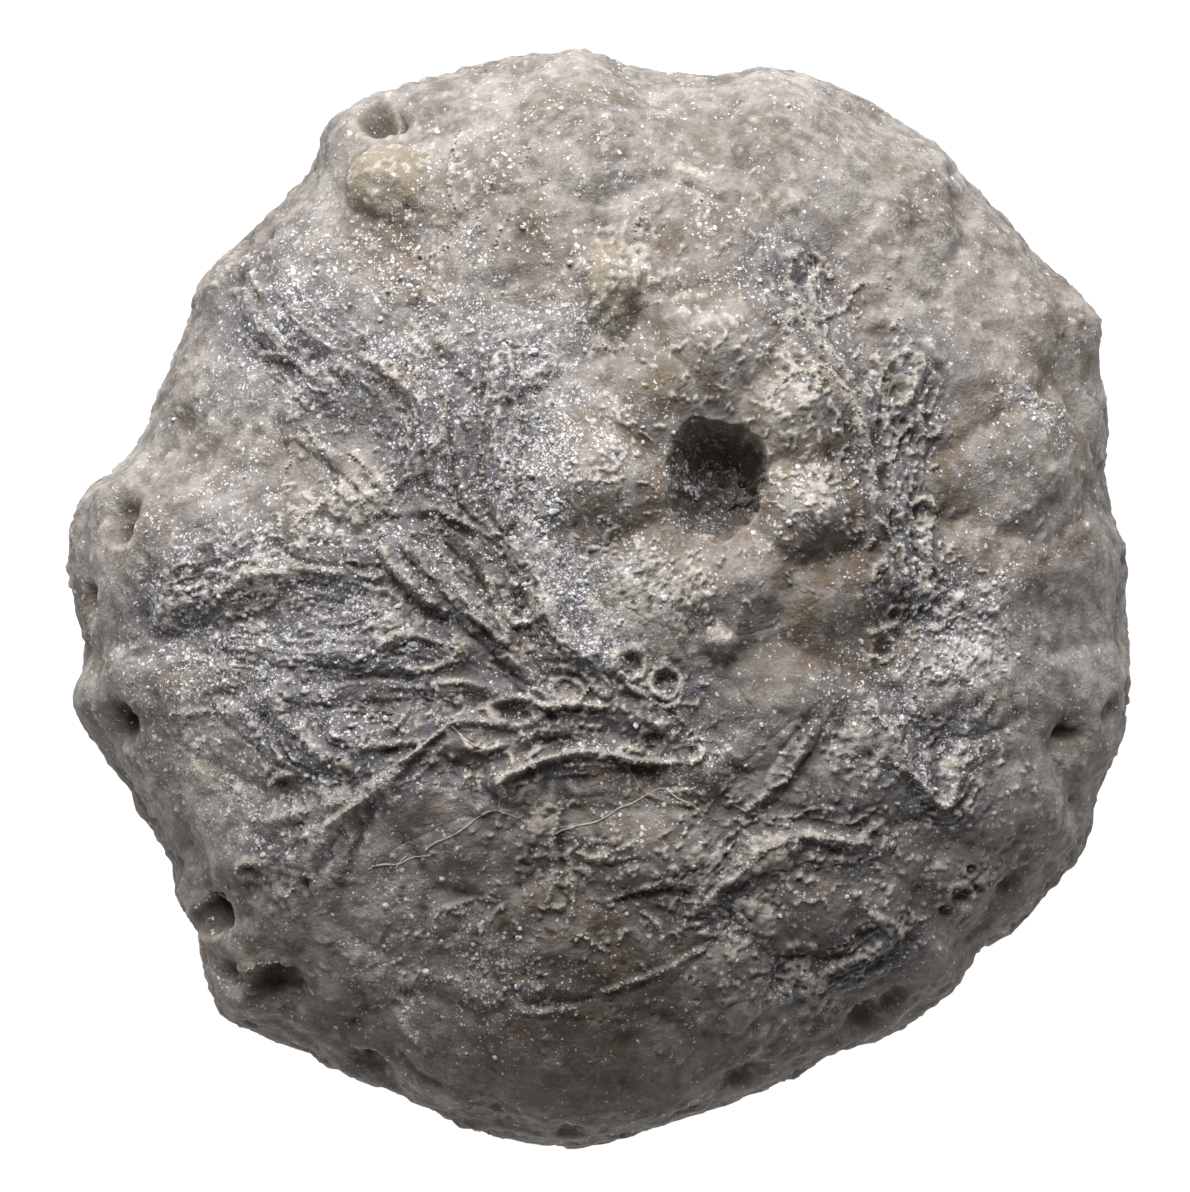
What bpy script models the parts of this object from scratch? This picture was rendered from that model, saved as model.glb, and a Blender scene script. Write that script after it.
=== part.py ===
"""Fossil crinoid calyx: the cup and domed lid of a sea lily, turned to one piece of stone.

The lid (tegmen) faces up. Its anal opening lies off centre inside a ring of knobs, arm openings
pit the edge, and a colony of branching tubes has grown over the lid. The cup below narrows to a
worn flat base, with the round stem facet sunk in its middle.

Lengths are in millimetres here and become metres in the mesh. +Z is up, and the origin is the
middle of the flat base. A place on the lid is a plan position (x, y), seen from straight above.
"""

from typing import NamedTuple

import bmesh
import bpy
import numpy as np
from mathutils import Vector, noise

MM = 0.001

# Driving dimensions
LID_HEIGHT = 11.0  # from the edge up to the top of the lid
LID_FULLNESS = 2.25  # 2 is an ellipse, and more is fuller at the shoulders
CUP_DEPTH = 12.5  # from the edge down to the flat base
CUP_BOWL_DEPTH = 14.0  # where the bowl would end if its base weren't worn flat
CUP_FULLNESS = 1.95
RECESS_RADIUS = 5.6  # the hollow around the stem facet
RECESS_DEPTH = 0.9
FACET_RADIUS = 3.4  # the round facet that the stem was fixed to
FACET_SUNK = 0.35
LUMEN_RADIUS = 0.8
EDGE_BAND = 4.0  # the height above and below the edge where relief is lower
EDGE_RELIEF = 0.3  # the share of it that is left at the edge itself
EDGE_WEAR = 0.15
CELLS_PER_SIDE = 104  # of the cube that the stone starts from
TARGET_TRIANGLES = 9300
STONE_COLOUR = (0.245, 0.225, 0.205, 1.0)
STONE_ROUGHNESS = 0.82

# The edge seen from above: its crests and hollows, as (degrees from +X, radius)
EDGE = [
    (3, 20.4), (12, 20.0), (20, 20.8), (24, 20.9), (31, 21.6), (39, 21.3), (49, 21.3), (52, 21.6),
    (64, 21.6), (72, 21.4), (79, 20.4), (86, 20.4), (92, 21.1), (106, 20.9), (117, 21.1),
    (120, 20.9), (124, 19.9), (134, 19.4), (142, 19.4), (147, 18.9), (153, 18.8), (161, 18.7),
    (165, 19.3), (169, 20.3), (175, 20.6), (181, 20.3), (187, 20.0), (192, 20.7), (197, 20.2),
    (203, 19.7), (212, 19.4), (216, 20.0), (220, 20.2), (224, 21.0), (228, 21.7), (233, 21.3),
    (244, 20.8), (248, 20.6), (256, 21.1), (268, 21.2), (274, 20.7), (284, 20.1), (290, 20.1),
    (297, 19.8), (304, 20.2), (312, 20.4), (317, 20.0), (321, 20.5), (332, 21.0), (338, 20.6),
    (345, 20.9), (352, 20.7), (357, 20.3),
]  # fmt: skip


class Hill(NamedTuple):
    """A round rise on the lid at a plan position, or a hollow where its height is negative."""

    x: float
    y: float
    radius: float
    height: float


class Ridge(NamedTuple):
    """A raised strand on the lid that follows a route of plan positions."""

    width: float
    height: float
    route: tuple


# The plates that stand up round the anal opening
KNOBS = (
    Hill(0.0, 4.3, 2.0, 1.25),
    Hill(1.9, 0.2, 1.9, 0.7),
    Hill(5.2, 0.4, 1.7, 0.75),
    Hill(7.8, 3.1, 1.5, 1.1),
    Hill(7.5, 6.8, 1.6, 1.1),
    Hill(4.4, 9.3, 1.9, 0.8),
    Hill(1.9, 7.7, 1.2, 0.5),
    Hill(9.0, -0.5, 1.5, 0.5),
)

# Swollen plates, crusted lumps and broad hollows elsewhere on the lid
SWELLS = (
    Hill(15.9, 4.4, 3.0, 0.9),
    Hill(18.3, 10.4, 1.7, 0.8),
    Hill(8.6, 16.0, 2.8, 0.5),
    Hill(0.3, 16.0, 3.4, 0.5),
    Hill(-13.9, 2.9, 2.8, 0.7),
    Hill(-13.8, -9.0, 2.4, 0.5),
    Hill(-4.6, -9.6, 2.2, 0.45),
    Hill(1.7, -9.7, 2.0, 0.5),
    Hill(7.7, -11.4, 2.2, 0.6),
    Hill(1.0, -17.2, 3.4, 0.5),
    Hill(15.0, -7.6, 1.6, 0.5),
    Hill(7.3, -4.0, 1.3, 0.45),
    Hill(-8.3, 15.9, 1.3, 0.8),
    Hill(0.5, 11.6, 1.2, 0.8),
    Hill(4.6, -1.8, 0.6, 0.6),
    Hill(-7.6, 13.7, 1.2, -0.8),
    Hill(-2.4, 6.0, 1.0, -0.5),
    Hill(9.8, -2.0, 1.3, -0.6),
    Hill(1.9, -6.7, 1.2, -0.6),
    Hill(17.6, 8.2, 1.3, -0.6),
    Hill(-9.0, 5.6, 2.0, -0.4),
)

# The strands of the tube colony, in plan
RIDGES = (
    # Over the left of the lid, towards the anal opening
    Ridge(0.55, 0.45, ((-13.6, 12.6), (-13.0, 11.3), (-12.8, 10.1), (-11.5, 9.0), (-10.3, 8.0))),
    Ridge(0.60, 0.60, ((-11.5, 10.2), (-9.8, 8.8), (-7.7, 7.8), (-6.8, 6.5), (-6.9, 4.8))),
    Ridge(0.50, 0.45, ((-6.0, 7.6), (-5.7, 6.0), (-5.5, 4.4), (-4.8, 3.3), (-2.7, 1.0))),
    Ridge(0.75, 0.75, ((-3.8, 8.5), (-4.0, 6.3), (-3.7, 4.4), (-3.3, 2.5), (-2.1, 0.6), (-1.4, -1.7))),
    Ridge(0.60, 0.60, ((-7.7, 1.7), (-6.7, 0.4), (-5.0, -0.5), (-3.8, -1.4), (-2.6, -2.9))),
    Ridge(0.55, 0.50, ((-6.2, 3.3), (-4.6, 2.3), (-3.5, 1.3), (-2.9, -0.2))),
    # In from the left edge
    Ridge(0.55, 0.35, ((-16.5, -0.6), (-14.8, 0.2), (-13.5, 0.6), (-11.5, 1.0), (-8.2, 0.6))),
    Ridge(0.55, 0.45, ((-13.8, -1.7), (-11.5, -2.3), (-9.2, -2.1), (-7.7, -1.6), (-5.4, -2.3))),
    Ridge(0.70, 0.55, ((-11.9, -3.5), (-11.8, -4.6), (-11.0, -5.7), (-9.6, -6.2))),
    # The bundle across the middle
    Ridge(0.70, 0.80, ((-6.2, -3.4), (-4.4, -3.5), (-2.7, -4.0), (0.2, -4.2), (2.6, -4.6))),
    Ridge(0.60, 0.60, ((-9.8, -5.1), (-7.7, -5.2), (-5.8, -4.9), (-3.8, -4.6), (-1.5, -4.9))),
    Ridge(0.65, 0.70, ((-11.5, -10.2), (-10.4, -9.0), (-9.0, -7.6), (-6.3, -5.7), (-2.7, -5.4))),
    Ridge(0.60, 0.75, ((-3.8, -6.9), (-2.7, -6.3), (-1.2, -6.0), (0.8, -6.0), (4.0, -6.7))),
    Ridge(0.65, 0.70, ((-1.5, -1.7), (0.0, -2.5), (1.0, -3.2), (2.4, -3.6))),
    # Down the right of the anal opening
    Ridge(0.60, 0.65, ((7.1, 12.7), (7.9, 9.4), (9.0, 8.1), (9.7, 6.3), (9.8, 3.7), (11.3, -0.4))),
    Ridge(0.65, 0.65, ((12.1, 8.7), (11.4, 7.1), (10.8, 5.4), (10.5, 3.5), (11.2, 1.3), (12.0, -0.2))),
    # Short ones at the lower right
    Ridge(0.50, 0.50, ((10.1, -4.1), (10.8, -5.1), (11.4, -6.2), (12.9, -7.8), (13.7, -6.0))),
    Ridge(0.60, 0.60, ((3.8, -11.5), (5.2, -10.3), (6.5, -9.4), (7.9, -9.1), (9.6, -9.3))),
    Ridge(0.55, 0.50, ((7.9, -14.2), (9.4, -13.7), (11.0, -12.9))),
)

# Plate centres on the lid; the sutures between plates run halfway from each to the next
LID_PLATES = (
    (0.0, 4.2), (1.9, 0.1), (5.3, 0.6), (7.7, 3.1), (7.5, 6.9), (4.3, 9.3), (2.1, 7.6), (8.8, -0.5),
    (-8.8, 6.3), (-14.0, 2.9), (-12.7, -4.8), (-13.8, -9.0), (-15.4, 8.3), (-10.4, 11.9),
    (-3.1, 11.7), (0.8, 17.9), (-6.9, 16.7), (3.8, 13.7), (8.5, 16.3), (11.7, 14.2), (15.4, 11.7),
    (13.8, 8.5), (15.8, 4.6), (18.7, 10.0), (18.3, -0.2), (18.7, -3.7), (14.8, -0.2), (13.5, -3.3),
    (10.4, -6.7), (7.3, -4.0), (15.0, -7.5), (11.0, -10.6), (7.7, -11.5), (13.3, -11.3),
    (1.5, -9.6), (1.5, -6.5), (-4.6, -9.8), (-5.0, -12.9), (-1.9, -12.9), (1.9, -12.9),
    (4.6, -15.2), (-1.5, -17.7), (3.1, -17.7), (7.7, -15.8), (-6.9, -17.3), (-9.8, -14.2),
    (-12.9, -12.9), (-8.3, -11.9),
)  # fmt: skip
# The cup's rings of plates, from the base up: how many, their share of the edge radius
CUP_RINGS = ((6, 0.36), (10, 0.60), (15, 0.79), (20, 0.945))
SUTURE_DEPTH = 0.22
SUTURE_WIDTH = 0.60
PILLOW_HEIGHT = 0.40
PILLOW_SHOULDER = 2.0  # how far in from a suture the plate has swollen to two thirds
LID_SUTURE_SHARE = 0.6  # the lid's plates are more worn than the cup's
# Soft lumps left by weathering, as (size, height)
WEATHERING = ((4.5, 0.45), (1.6, 0.22))

# Where arms joined the edge: (degrees, share of the edge radius, radius, depth)
ARM_OPENINGS = (
    (21, 0.93, 0.75, 0.6), (26, 0.915, 0.8, 0.7), (47, 0.955, 0.7, 0.6), (62, 0.97, 0.6, 0.5),
    (98, 0.97, 0.6, 0.5), (114, 0.945, 0.85, 1.0), (134, 0.965, 0.6, 0.7), (140, 0.93, 0.7, 0.7),
    (157, 0.92, 0.5, 0.4), (171, 0.90, 0.85, 1.1), (181, 0.965, 0.7, 0.8), (195, 0.93, 0.8, 0.9),
    (220, 0.935, 0.75, 1.1), (226, 0.945, 0.6, 0.9), (231, 0.905, 1.0, 1.1), (244, 0.955, 0.8, 1.0),
    (267, 0.96, 0.6, 0.6), (286, 0.955, 0.6, 0.6), (302, 0.94, 0.7, 0.9), (306, 0.94, 0.6, 0.9),
    (325, 0.93, 0.6, 0.6), (343, 0.895, 0.8, 0.8), (347, 0.95, 0.5, 0.5),
)  # fmt: skip

# The anal opening: an oval pit with an uneven rim, deepest towards +X -Y
VENT_X = 4.4
VENT_Y = 4.4
VENT_HALF_WIDTH = 1.85
VENT_HALF_LENGTH = 2.25
VENT_DEPTH = 4.0
VENT_LEAN = 0.35


def start_collection(name):
    """Clears the scene's objects and returns a fresh collection linked to the scene."""
    for old in list(bpy.data.objects):
        bpy.data.objects.remove(old, do_unlink=True)
    collection = bpy.data.collections.new(name)
    bpy.context.scene.collection.children.link(collection)
    return collection


def edge_radius(angle):
    """Radius of the outline at each angle in radians: a smooth closed curve through EDGE."""
    degrees = np.array([point[0] for point in EDGE], float)
    radii = np.array([point[1] for point in EDGE], float)
    before, after = np.roll(degrees, 1), np.roll(degrees, -1)
    before[0] -= 360
    after[-1] += 360
    slopes = (np.roll(radii, -1) - np.roll(radii, 1)) / (after - before)
    turn = np.degrees(angle) % 360
    start = (np.searchsorted(degrees, turn, side="right") - 1) % len(degrees)
    end = (start + 1) % len(degrees)
    span = (after - degrees)[start]
    t = ((turn - degrees[start]) % 360) / span
    return (
        (2 * t**3 - 3 * t**2 + 1) * radii[start]
        + (t**3 - 2 * t**2 + t) * span * slopes[start]
        + (3 * t**2 - 2 * t**3) * radii[end]
        + (t**3 - t**2) * span * slopes[end]
    )


def dome_height(share, fullness, height):
    """Height of a rounded cap at a share of its edge radius."""
    return height * (1 - np.clip(share, 0, 1) ** fullness) ** (1 / fullness)


def lid_point(x, y):
    """The smooth lid's surface above a plan position."""
    share = np.hypot(x, y) / edge_radius(np.arctan2(y, x))
    return np.array([x, y, dome_height(share, LID_FULLNESS, LID_HEIGHT)])


def cup_point(angle, share):
    """The smooth bowl's surface below the edge, at a share of the edge radius."""
    radius = share * edge_radius(angle)
    z = -dome_height(share, CUP_FULLNESS, CUP_BOWL_DEPTH)
    return np.array([radius * np.cos(angle), radius * np.sin(angle), z])


def body_points(directions):
    """Carries points of a unit sphere to the smooth calyx, with the edge at z = 0."""
    angle = np.arctan2(directions[:, 1], directions[:, 0])
    level = directions[:, 2]
    reach = np.sqrt(np.clip(1 - level**2, 0, 1))
    fullness = np.where(level > 0, LID_FULLNESS, CUP_FULLNESS)
    height = np.where(level > 0, LID_HEIGHT, CUP_BOWL_DEPTH)
    radius = reach ** (2 / fullness) * edge_radius(angle)
    z = np.sign(level) * height * np.abs(level) ** (2 / fullness)
    return np.column_stack([radius * np.cos(angle), radius * np.sin(angle), z])


def hill_relief(points, hills):
    """Sum of the hills' heights at each point, each a bell on the smooth lid."""
    relief = np.zeros(len(points))
    for hill in hills:
        distance = np.linalg.norm(points - lid_point(hill.x, hill.y), axis=1)
        relief += hill.height * np.exp(-((distance / hill.radius) ** 2))
    return relief


def smooth_route(route, steps=5):
    """More points along a route, on a Catmull-Rom curve, each raised to the smooth lid."""
    stops = [Vector(route[0])] + [Vector(stop) for stop in route] + [Vector(route[-1])]
    plan = []
    for a, b, c, d in zip(stops, stops[1:], stops[2:], stops[3:]):
        for step in range(steps):
            t = step / steps
            plan.append(
                0.5 * (2 * b + (c - a) * t + (2 * a - 5 * b + 4 * c - d) * t**2
                       + (3 * b - a - 3 * c + d) * t**3)
            )
    plan.append(stops[-1])
    return np.array([lid_point(point.x, point.y) for point in plan])


def distance_to_line(points, line):
    """Distance from each point to the nearest stretch of a polyline."""
    nearest = np.full(len(points), np.inf)
    for start, end in zip(line, line[1:]):
        along = end - start
        share = np.clip((points - start) @ along / (along @ along), 0, 1)
        gap = np.linalg.norm(points - start - share[:, None] * along, axis=1)
        nearest = np.minimum(nearest, gap)
    return nearest


def ridge_relief(points):
    """Height of the strands at each point; where strands meet, the higher one counts."""
    relief = np.zeros(len(points))
    for ridge in RIDGES:
        line = smooth_route(ridge.route)
        reach = 4 * ridge.width
        near = np.all((points > line.min(0) - reach) & (points < line.max(0) + reach), axis=1)
        gap = distance_to_line(points[near], line)
        relief[near] = np.maximum(relief[near], ridge.height * np.exp(-((gap / ridge.width) ** 2)))
    return relief


def plate_centres():
    """Centres of every plate: the lid's by hand, and the cup's in rings that are staggered."""
    centres = [lid_point(x, y) for x, y in LID_PLATES]
    for index, (count, share) in enumerate(CUP_RINGS):
        for plate in range(count):
            turn = 2 * np.pi * (plate + 0.5 * (index % 2) + 0.2) / count
            centres.append(cup_point(turn, share))
    return np.array(centres)


def plate_relief(points):
    """Plates swollen like low pillows, with a groove along each suture."""
    nearest = np.full(len(points), np.inf)
    second = np.full(len(points), np.inf)
    for centre in plate_centres():
        gap = np.linalg.norm(points - centre, axis=1)
        second = np.minimum(second, np.maximum(gap, nearest))
        nearest = np.minimum(nearest, gap)
    inside = second - nearest
    pillow = PILLOW_HEIGHT * (1 - np.exp(-inside / PILLOW_SHOULDER))
    depth = SUTURE_DEPTH * np.where(points[:, 2] > 0, LID_SUTURE_SHARE, 1.0)
    return pillow - depth * np.exp(-((inside / SUTURE_WIDTH) ** 2))


def weathered_relief(points):
    """Soft lumps that weathering left, one layer of noise for each size."""
    relief = np.zeros(len(points))
    for size, height in WEATHERING:
        relief += [height * noise.noise(Vector(point) / size) for point in points]
    return relief


def arm_opening_sink(points):
    """How far the arm openings sink each point, along its own normal."""
    sink = np.zeros(len(points))
    for degrees, share, radius, depth in ARM_OPENINGS:
        angle = np.radians(degrees)
        reach = share * edge_radius(angle)
        centre = lid_point(reach * np.cos(angle), reach * np.sin(angle))
        distance = np.linalg.norm(points - centre, axis=1)
        sink = np.maximum(sink, depth / (1 + (distance / radius) ** 5))
    return sink


def vertex_values(mesh, attribute):
    """The coordinates or normals of a mesh's vertices, as an array."""
    values = np.empty(len(mesh.vertices) * 3, np.float32)
    mesh.vertices.foreach_get(attribute, values)
    return values.reshape(-1, 3).astype(float)


def round_cube():
    """A cube cut into even cells and rounded to a unit sphere."""
    bm = bmesh.new()
    bmesh.ops.create_cube(bm, size=2.0)
    bmesh.ops.subdivide_edges(bm, edges=bm.edges[:], cuts=CELLS_PER_SIDE - 1, use_grid_fill=True)
    mesh = bpy.data.meshes.new("calyx")
    bm.to_mesh(mesh)
    bm.free()
    x, y, z = vertex_values(mesh, "co").T
    rounded = np.column_stack([
        x * np.sqrt(1 - y**2 / 2 - z**2 / 2 + y**2 * z**2 / 3),
        y * np.sqrt(1 - z**2 / 2 - x**2 / 2 + z**2 * x**2 / 3),
        z * np.sqrt(1 - x**2 / 2 - y**2 / 2 + x**2 * y**2 / 3),
    ])
    mesh.vertices.foreach_set("co", rounded.ravel())
    return mesh, rounded


def sculpt_calyx():
    """The calyx as one mesh in metres, standing on z = 0 before its base is worn flat."""
    mesh, directions = round_cube()
    body = body_points(directions)
    mesh.vertices.foreach_set("co", body.ravel())
    mesh.update()
    normals = vertex_values(mesh, "normal")
    relief = (
        hill_relief(body, KNOBS + SWELLS)
        + ridge_relief(body)
        + plate_relief(body)
        + weathered_relief(body)
        - arm_opening_sink(body)
    )
    # Relief is low round the very edge, so that the outline stays the one that EDGE draws
    from_edge = np.clip(np.abs(body[:, 2]) / EDGE_BAND, 0, 1)
    relief *= EDGE_RELIEF + (1 - EDGE_RELIEF) * from_edge
    relief -= EDGE_WEAR * (1 - from_edge)
    points = body + normals * relief[:, None]
    points[:, 2] += CUP_DEPTH
    mesh.vertices.foreach_set("co", (points * MM).ravel())
    mesh.update()
    return mesh


def turned_cutter(name, profile, collection):
    """A closed turned cutter: a half profile from axis to axis, spun by a Screw modifier."""
    mesh = bpy.data.meshes.new(name)
    mesh.from_pydata([(r * MM, 0, z * MM) for r, z in profile],
                     [(i, i + 1) for i in range(len(profile) - 1)], [])
    cutter = bpy.data.objects.new(name, mesh)
    screw = cutter.modifiers.new("Screw", "SCREW")
    screw.steps = screw.render_steps = 32
    screw.use_merge_vertices = True
    screw.merge_threshold = 0.00001
    cutter.hide_render = True
    cutter.display_type = "WIRE"
    collection.objects.link(cutter)
    return cutter


def vent_cutter(collection):
    """An uneven egg that hollows the anal opening, sunk in the lid and flared above it."""
    bm = bmesh.new()
    bmesh.ops.create_uvsphere(bm, u_segments=20, v_segments=14, radius=1.0)
    top = lid_point(VENT_X, VENT_Y)
    for vert in bm.verts:
        x, y, z = vert.co
        flare = 1 + 0.25 * max(z, 0) + 0.12 * noise.noise(Vector((x, y, z)) * 1.9)
        vert.co = (
            (top[0] + VENT_HALF_WIDTH * x * flare - VENT_LEAN * z) * MM,
            (top[1] + VENT_HALF_LENGTH * y * flare + VENT_LEAN * z) * MM,
            (top[2] + VENT_DEPTH * z + CUP_DEPTH) * MM,
        )
    mesh = bpy.data.meshes.new("vent_cutter")
    bm.to_mesh(mesh)
    bm.free()
    cutter = bpy.data.objects.new("vent_cutter", mesh)
    cutter.hide_render = True
    cutter.display_type = "WIRE"
    collection.objects.link(cutter)
    return cutter


def cut(target, cutter):
    """Cuts one object from another with a live Boolean."""
    boolean = target.modifiers.new(cutter.name, "BOOLEAN")
    boolean.operation = "DIFFERENCE"
    boolean.solver = "EXACT"
    boolean.object = cutter


def stone_material():
    """Dull grey-brown limestone."""
    material = bpy.data.materials.new("limestone")
    material.use_nodes = True
    surface = material.node_tree.nodes["Principled BSDF"]
    surface.inputs["Base Color"].default_value = STONE_COLOUR
    surface.inputs["Roughness"].default_value = STONE_ROUGHNESS
    surface.inputs["Metallic"].default_value = 0.0
    material.diffuse_color = STONE_COLOUR
    return material


def build():
    """Makes the calyx object and the cutters that wear its base flat and sink its facet."""
    parts = start_collection("fossil_crinoid")
    cutters = bpy.data.collections.new("cutters")
    bpy.context.scene.collection.children.link(cutters)

    mesh = sculpt_calyx()
    calyx = bpy.data.objects.new("calyx", mesh)
    mesh.materials.append(stone_material())
    parts.objects.link(calyx)

    thin = calyx.modifiers.new("Fewer faces", "DECIMATE")
    thin.ratio = TARGET_TRIANGLES / (2 * len(mesh.polygons))

    ground_radius, ground_depth = 30.0, 10.0
    cut(calyx, turned_cutter("worn_base", (
        (0, 0), (ground_radius, 0), (ground_radius, -ground_depth), (0, -ground_depth),
    ), cutters))
    cut(calyx, turned_cutter("stem_recess", (
        (0, LUMEN_RADIUS + FACET_SUNK),
        (LUMEN_RADIUS, FACET_SUNK),
        (FACET_RADIUS, FACET_SUNK),
        (FACET_RADIUS + 0.35, RECESS_DEPTH),
        (RECESS_RADIUS - 0.9, RECESS_DEPTH),
        (RECESS_RADIUS, -1.0),
        (0, -1.0),
    ), cutters))
    cut(calyx, vent_cutter(cutters))
    mesh.shade_smooth()
    return calyx


build()
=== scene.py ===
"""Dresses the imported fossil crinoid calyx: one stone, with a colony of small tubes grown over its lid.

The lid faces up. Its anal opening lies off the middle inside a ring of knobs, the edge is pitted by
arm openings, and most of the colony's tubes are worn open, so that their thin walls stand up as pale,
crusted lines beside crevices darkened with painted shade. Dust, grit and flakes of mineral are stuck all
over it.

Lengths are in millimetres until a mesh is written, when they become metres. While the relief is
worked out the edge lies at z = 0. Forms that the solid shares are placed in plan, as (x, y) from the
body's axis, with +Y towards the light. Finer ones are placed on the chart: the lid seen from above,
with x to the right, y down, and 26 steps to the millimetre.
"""

import logging
import math
from dataclasses import dataclass, field
from enum import Enum
from typing import Iterable, NamedTuple, Sequence

import bmesh
import bpy
import numpy as np
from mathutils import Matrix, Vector, noise


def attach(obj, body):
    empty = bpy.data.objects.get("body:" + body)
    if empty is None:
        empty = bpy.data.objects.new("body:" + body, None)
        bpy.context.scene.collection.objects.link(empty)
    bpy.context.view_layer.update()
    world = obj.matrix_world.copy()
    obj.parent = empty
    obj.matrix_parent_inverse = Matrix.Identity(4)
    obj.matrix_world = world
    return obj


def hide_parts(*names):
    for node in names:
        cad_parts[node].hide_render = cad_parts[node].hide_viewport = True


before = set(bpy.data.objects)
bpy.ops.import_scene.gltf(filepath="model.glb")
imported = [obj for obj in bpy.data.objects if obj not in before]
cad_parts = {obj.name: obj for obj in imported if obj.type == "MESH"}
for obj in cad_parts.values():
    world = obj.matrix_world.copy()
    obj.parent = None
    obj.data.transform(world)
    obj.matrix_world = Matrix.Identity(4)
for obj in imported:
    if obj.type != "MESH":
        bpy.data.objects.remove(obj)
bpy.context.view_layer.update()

MM = 0.001
NODE = "calyx"
BODY_NAME = "root"
CHART_SIZE = (1190, 1192)
CHART_AXIS = (600, 595)  # where the body's axis stands on it
CHART_STEPS = 26.0  # to the millimetre
GRIT_CLUSTER = 0.7  # size of its clusters
GRIT_MARGIN = (0.4, 0.6)  # how far inside a finer mesh's border grit sets in, and where it is full
WORN_AWAY = -0.45  # the wear noise below which nothing is left of a wall
CAVITY_REACH = 0.3  # how far round each point its neighbours are averaged
CAVITY_DEPTH = 0.12  # of a hollow that counts as a full one
LOG = logging.getLogger(NODE)
Array = np.ndarray

# fmt: off
# The edge seen from above: its crests and hollows, as (degrees from +X, radius)
EDGE = (
    (3, 20.4), (12, 20.0), (20, 20.8), (24, 20.9), (31, 21.6), (39, 21.3), (49, 21.3), (52, 21.6),
    (64, 21.6), (72, 21.4), (79, 20.4), (86, 20.4), (92, 21.1), (106, 20.9), (117, 21.1),
    (120, 20.9), (124, 19.9), (134, 19.4), (142, 19.4), (147, 18.9), (153, 18.8), (161, 18.7),
    (165, 19.3), (169, 20.3), (175, 20.6), (181, 20.3), (187, 20.0), (192, 20.7), (197, 20.2),
    (203, 19.7), (212, 19.4), (216, 20.0), (220, 20.2), (224, 21.0), (228, 21.7), (233, 21.3),
    (244, 20.8), (248, 20.6), (256, 21.1), (268, 21.2), (274, 20.7), (284, 20.1), (290, 20.1),
    (297, 19.8), (304, 20.2), (312, 20.4), (317, 20.0), (321, 20.5), (332, 21.0), (338, 20.6),
    (345, 20.9), (352, 20.7), (357, 20.3),
)
# fmt: on


class Mask(str, Enum):
    """What the relief leaves at each point for the materials, mostly from 0 to 1."""

    PALE = "pale"
    # Painted shade: grooves, pits, pores, cells, tube feet, the opening's depth and spots of the lid are
    # made darker
    DARK = "shade_mask"
    # Brown stains, and brown painted shade at the feet of knobs, in pits, down the opening and on the side
    # away from the light
    BROWN = "brown"
    OCHRE = "ochre"
    SPECKS = "specks"
    COLONY = "colony"
    # How far each point stands out from its neighbours; the stone's material paints highlights on crests
    # and shade in hollows from it
    CAVITY = "cavity"
    GRIT = "grit"


class Pattern(float, Enum):
    """Places in the noise, far enough apart that what is read at one doesn't follow another."""

    PLAIN = 0.0
    VENT_SPECKS = 2.0
    CELLS = 5.0
    RAGGED = 7.0
    VENT_RIM = 9.0
    WORN = 15.0
    CRUST = 21.0
    FINE_CRUST = 27.0
    GRIT = 33.0
    PORES = 51.0
    BREAKS = 61.0
    DRIFT = 71.0


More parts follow.
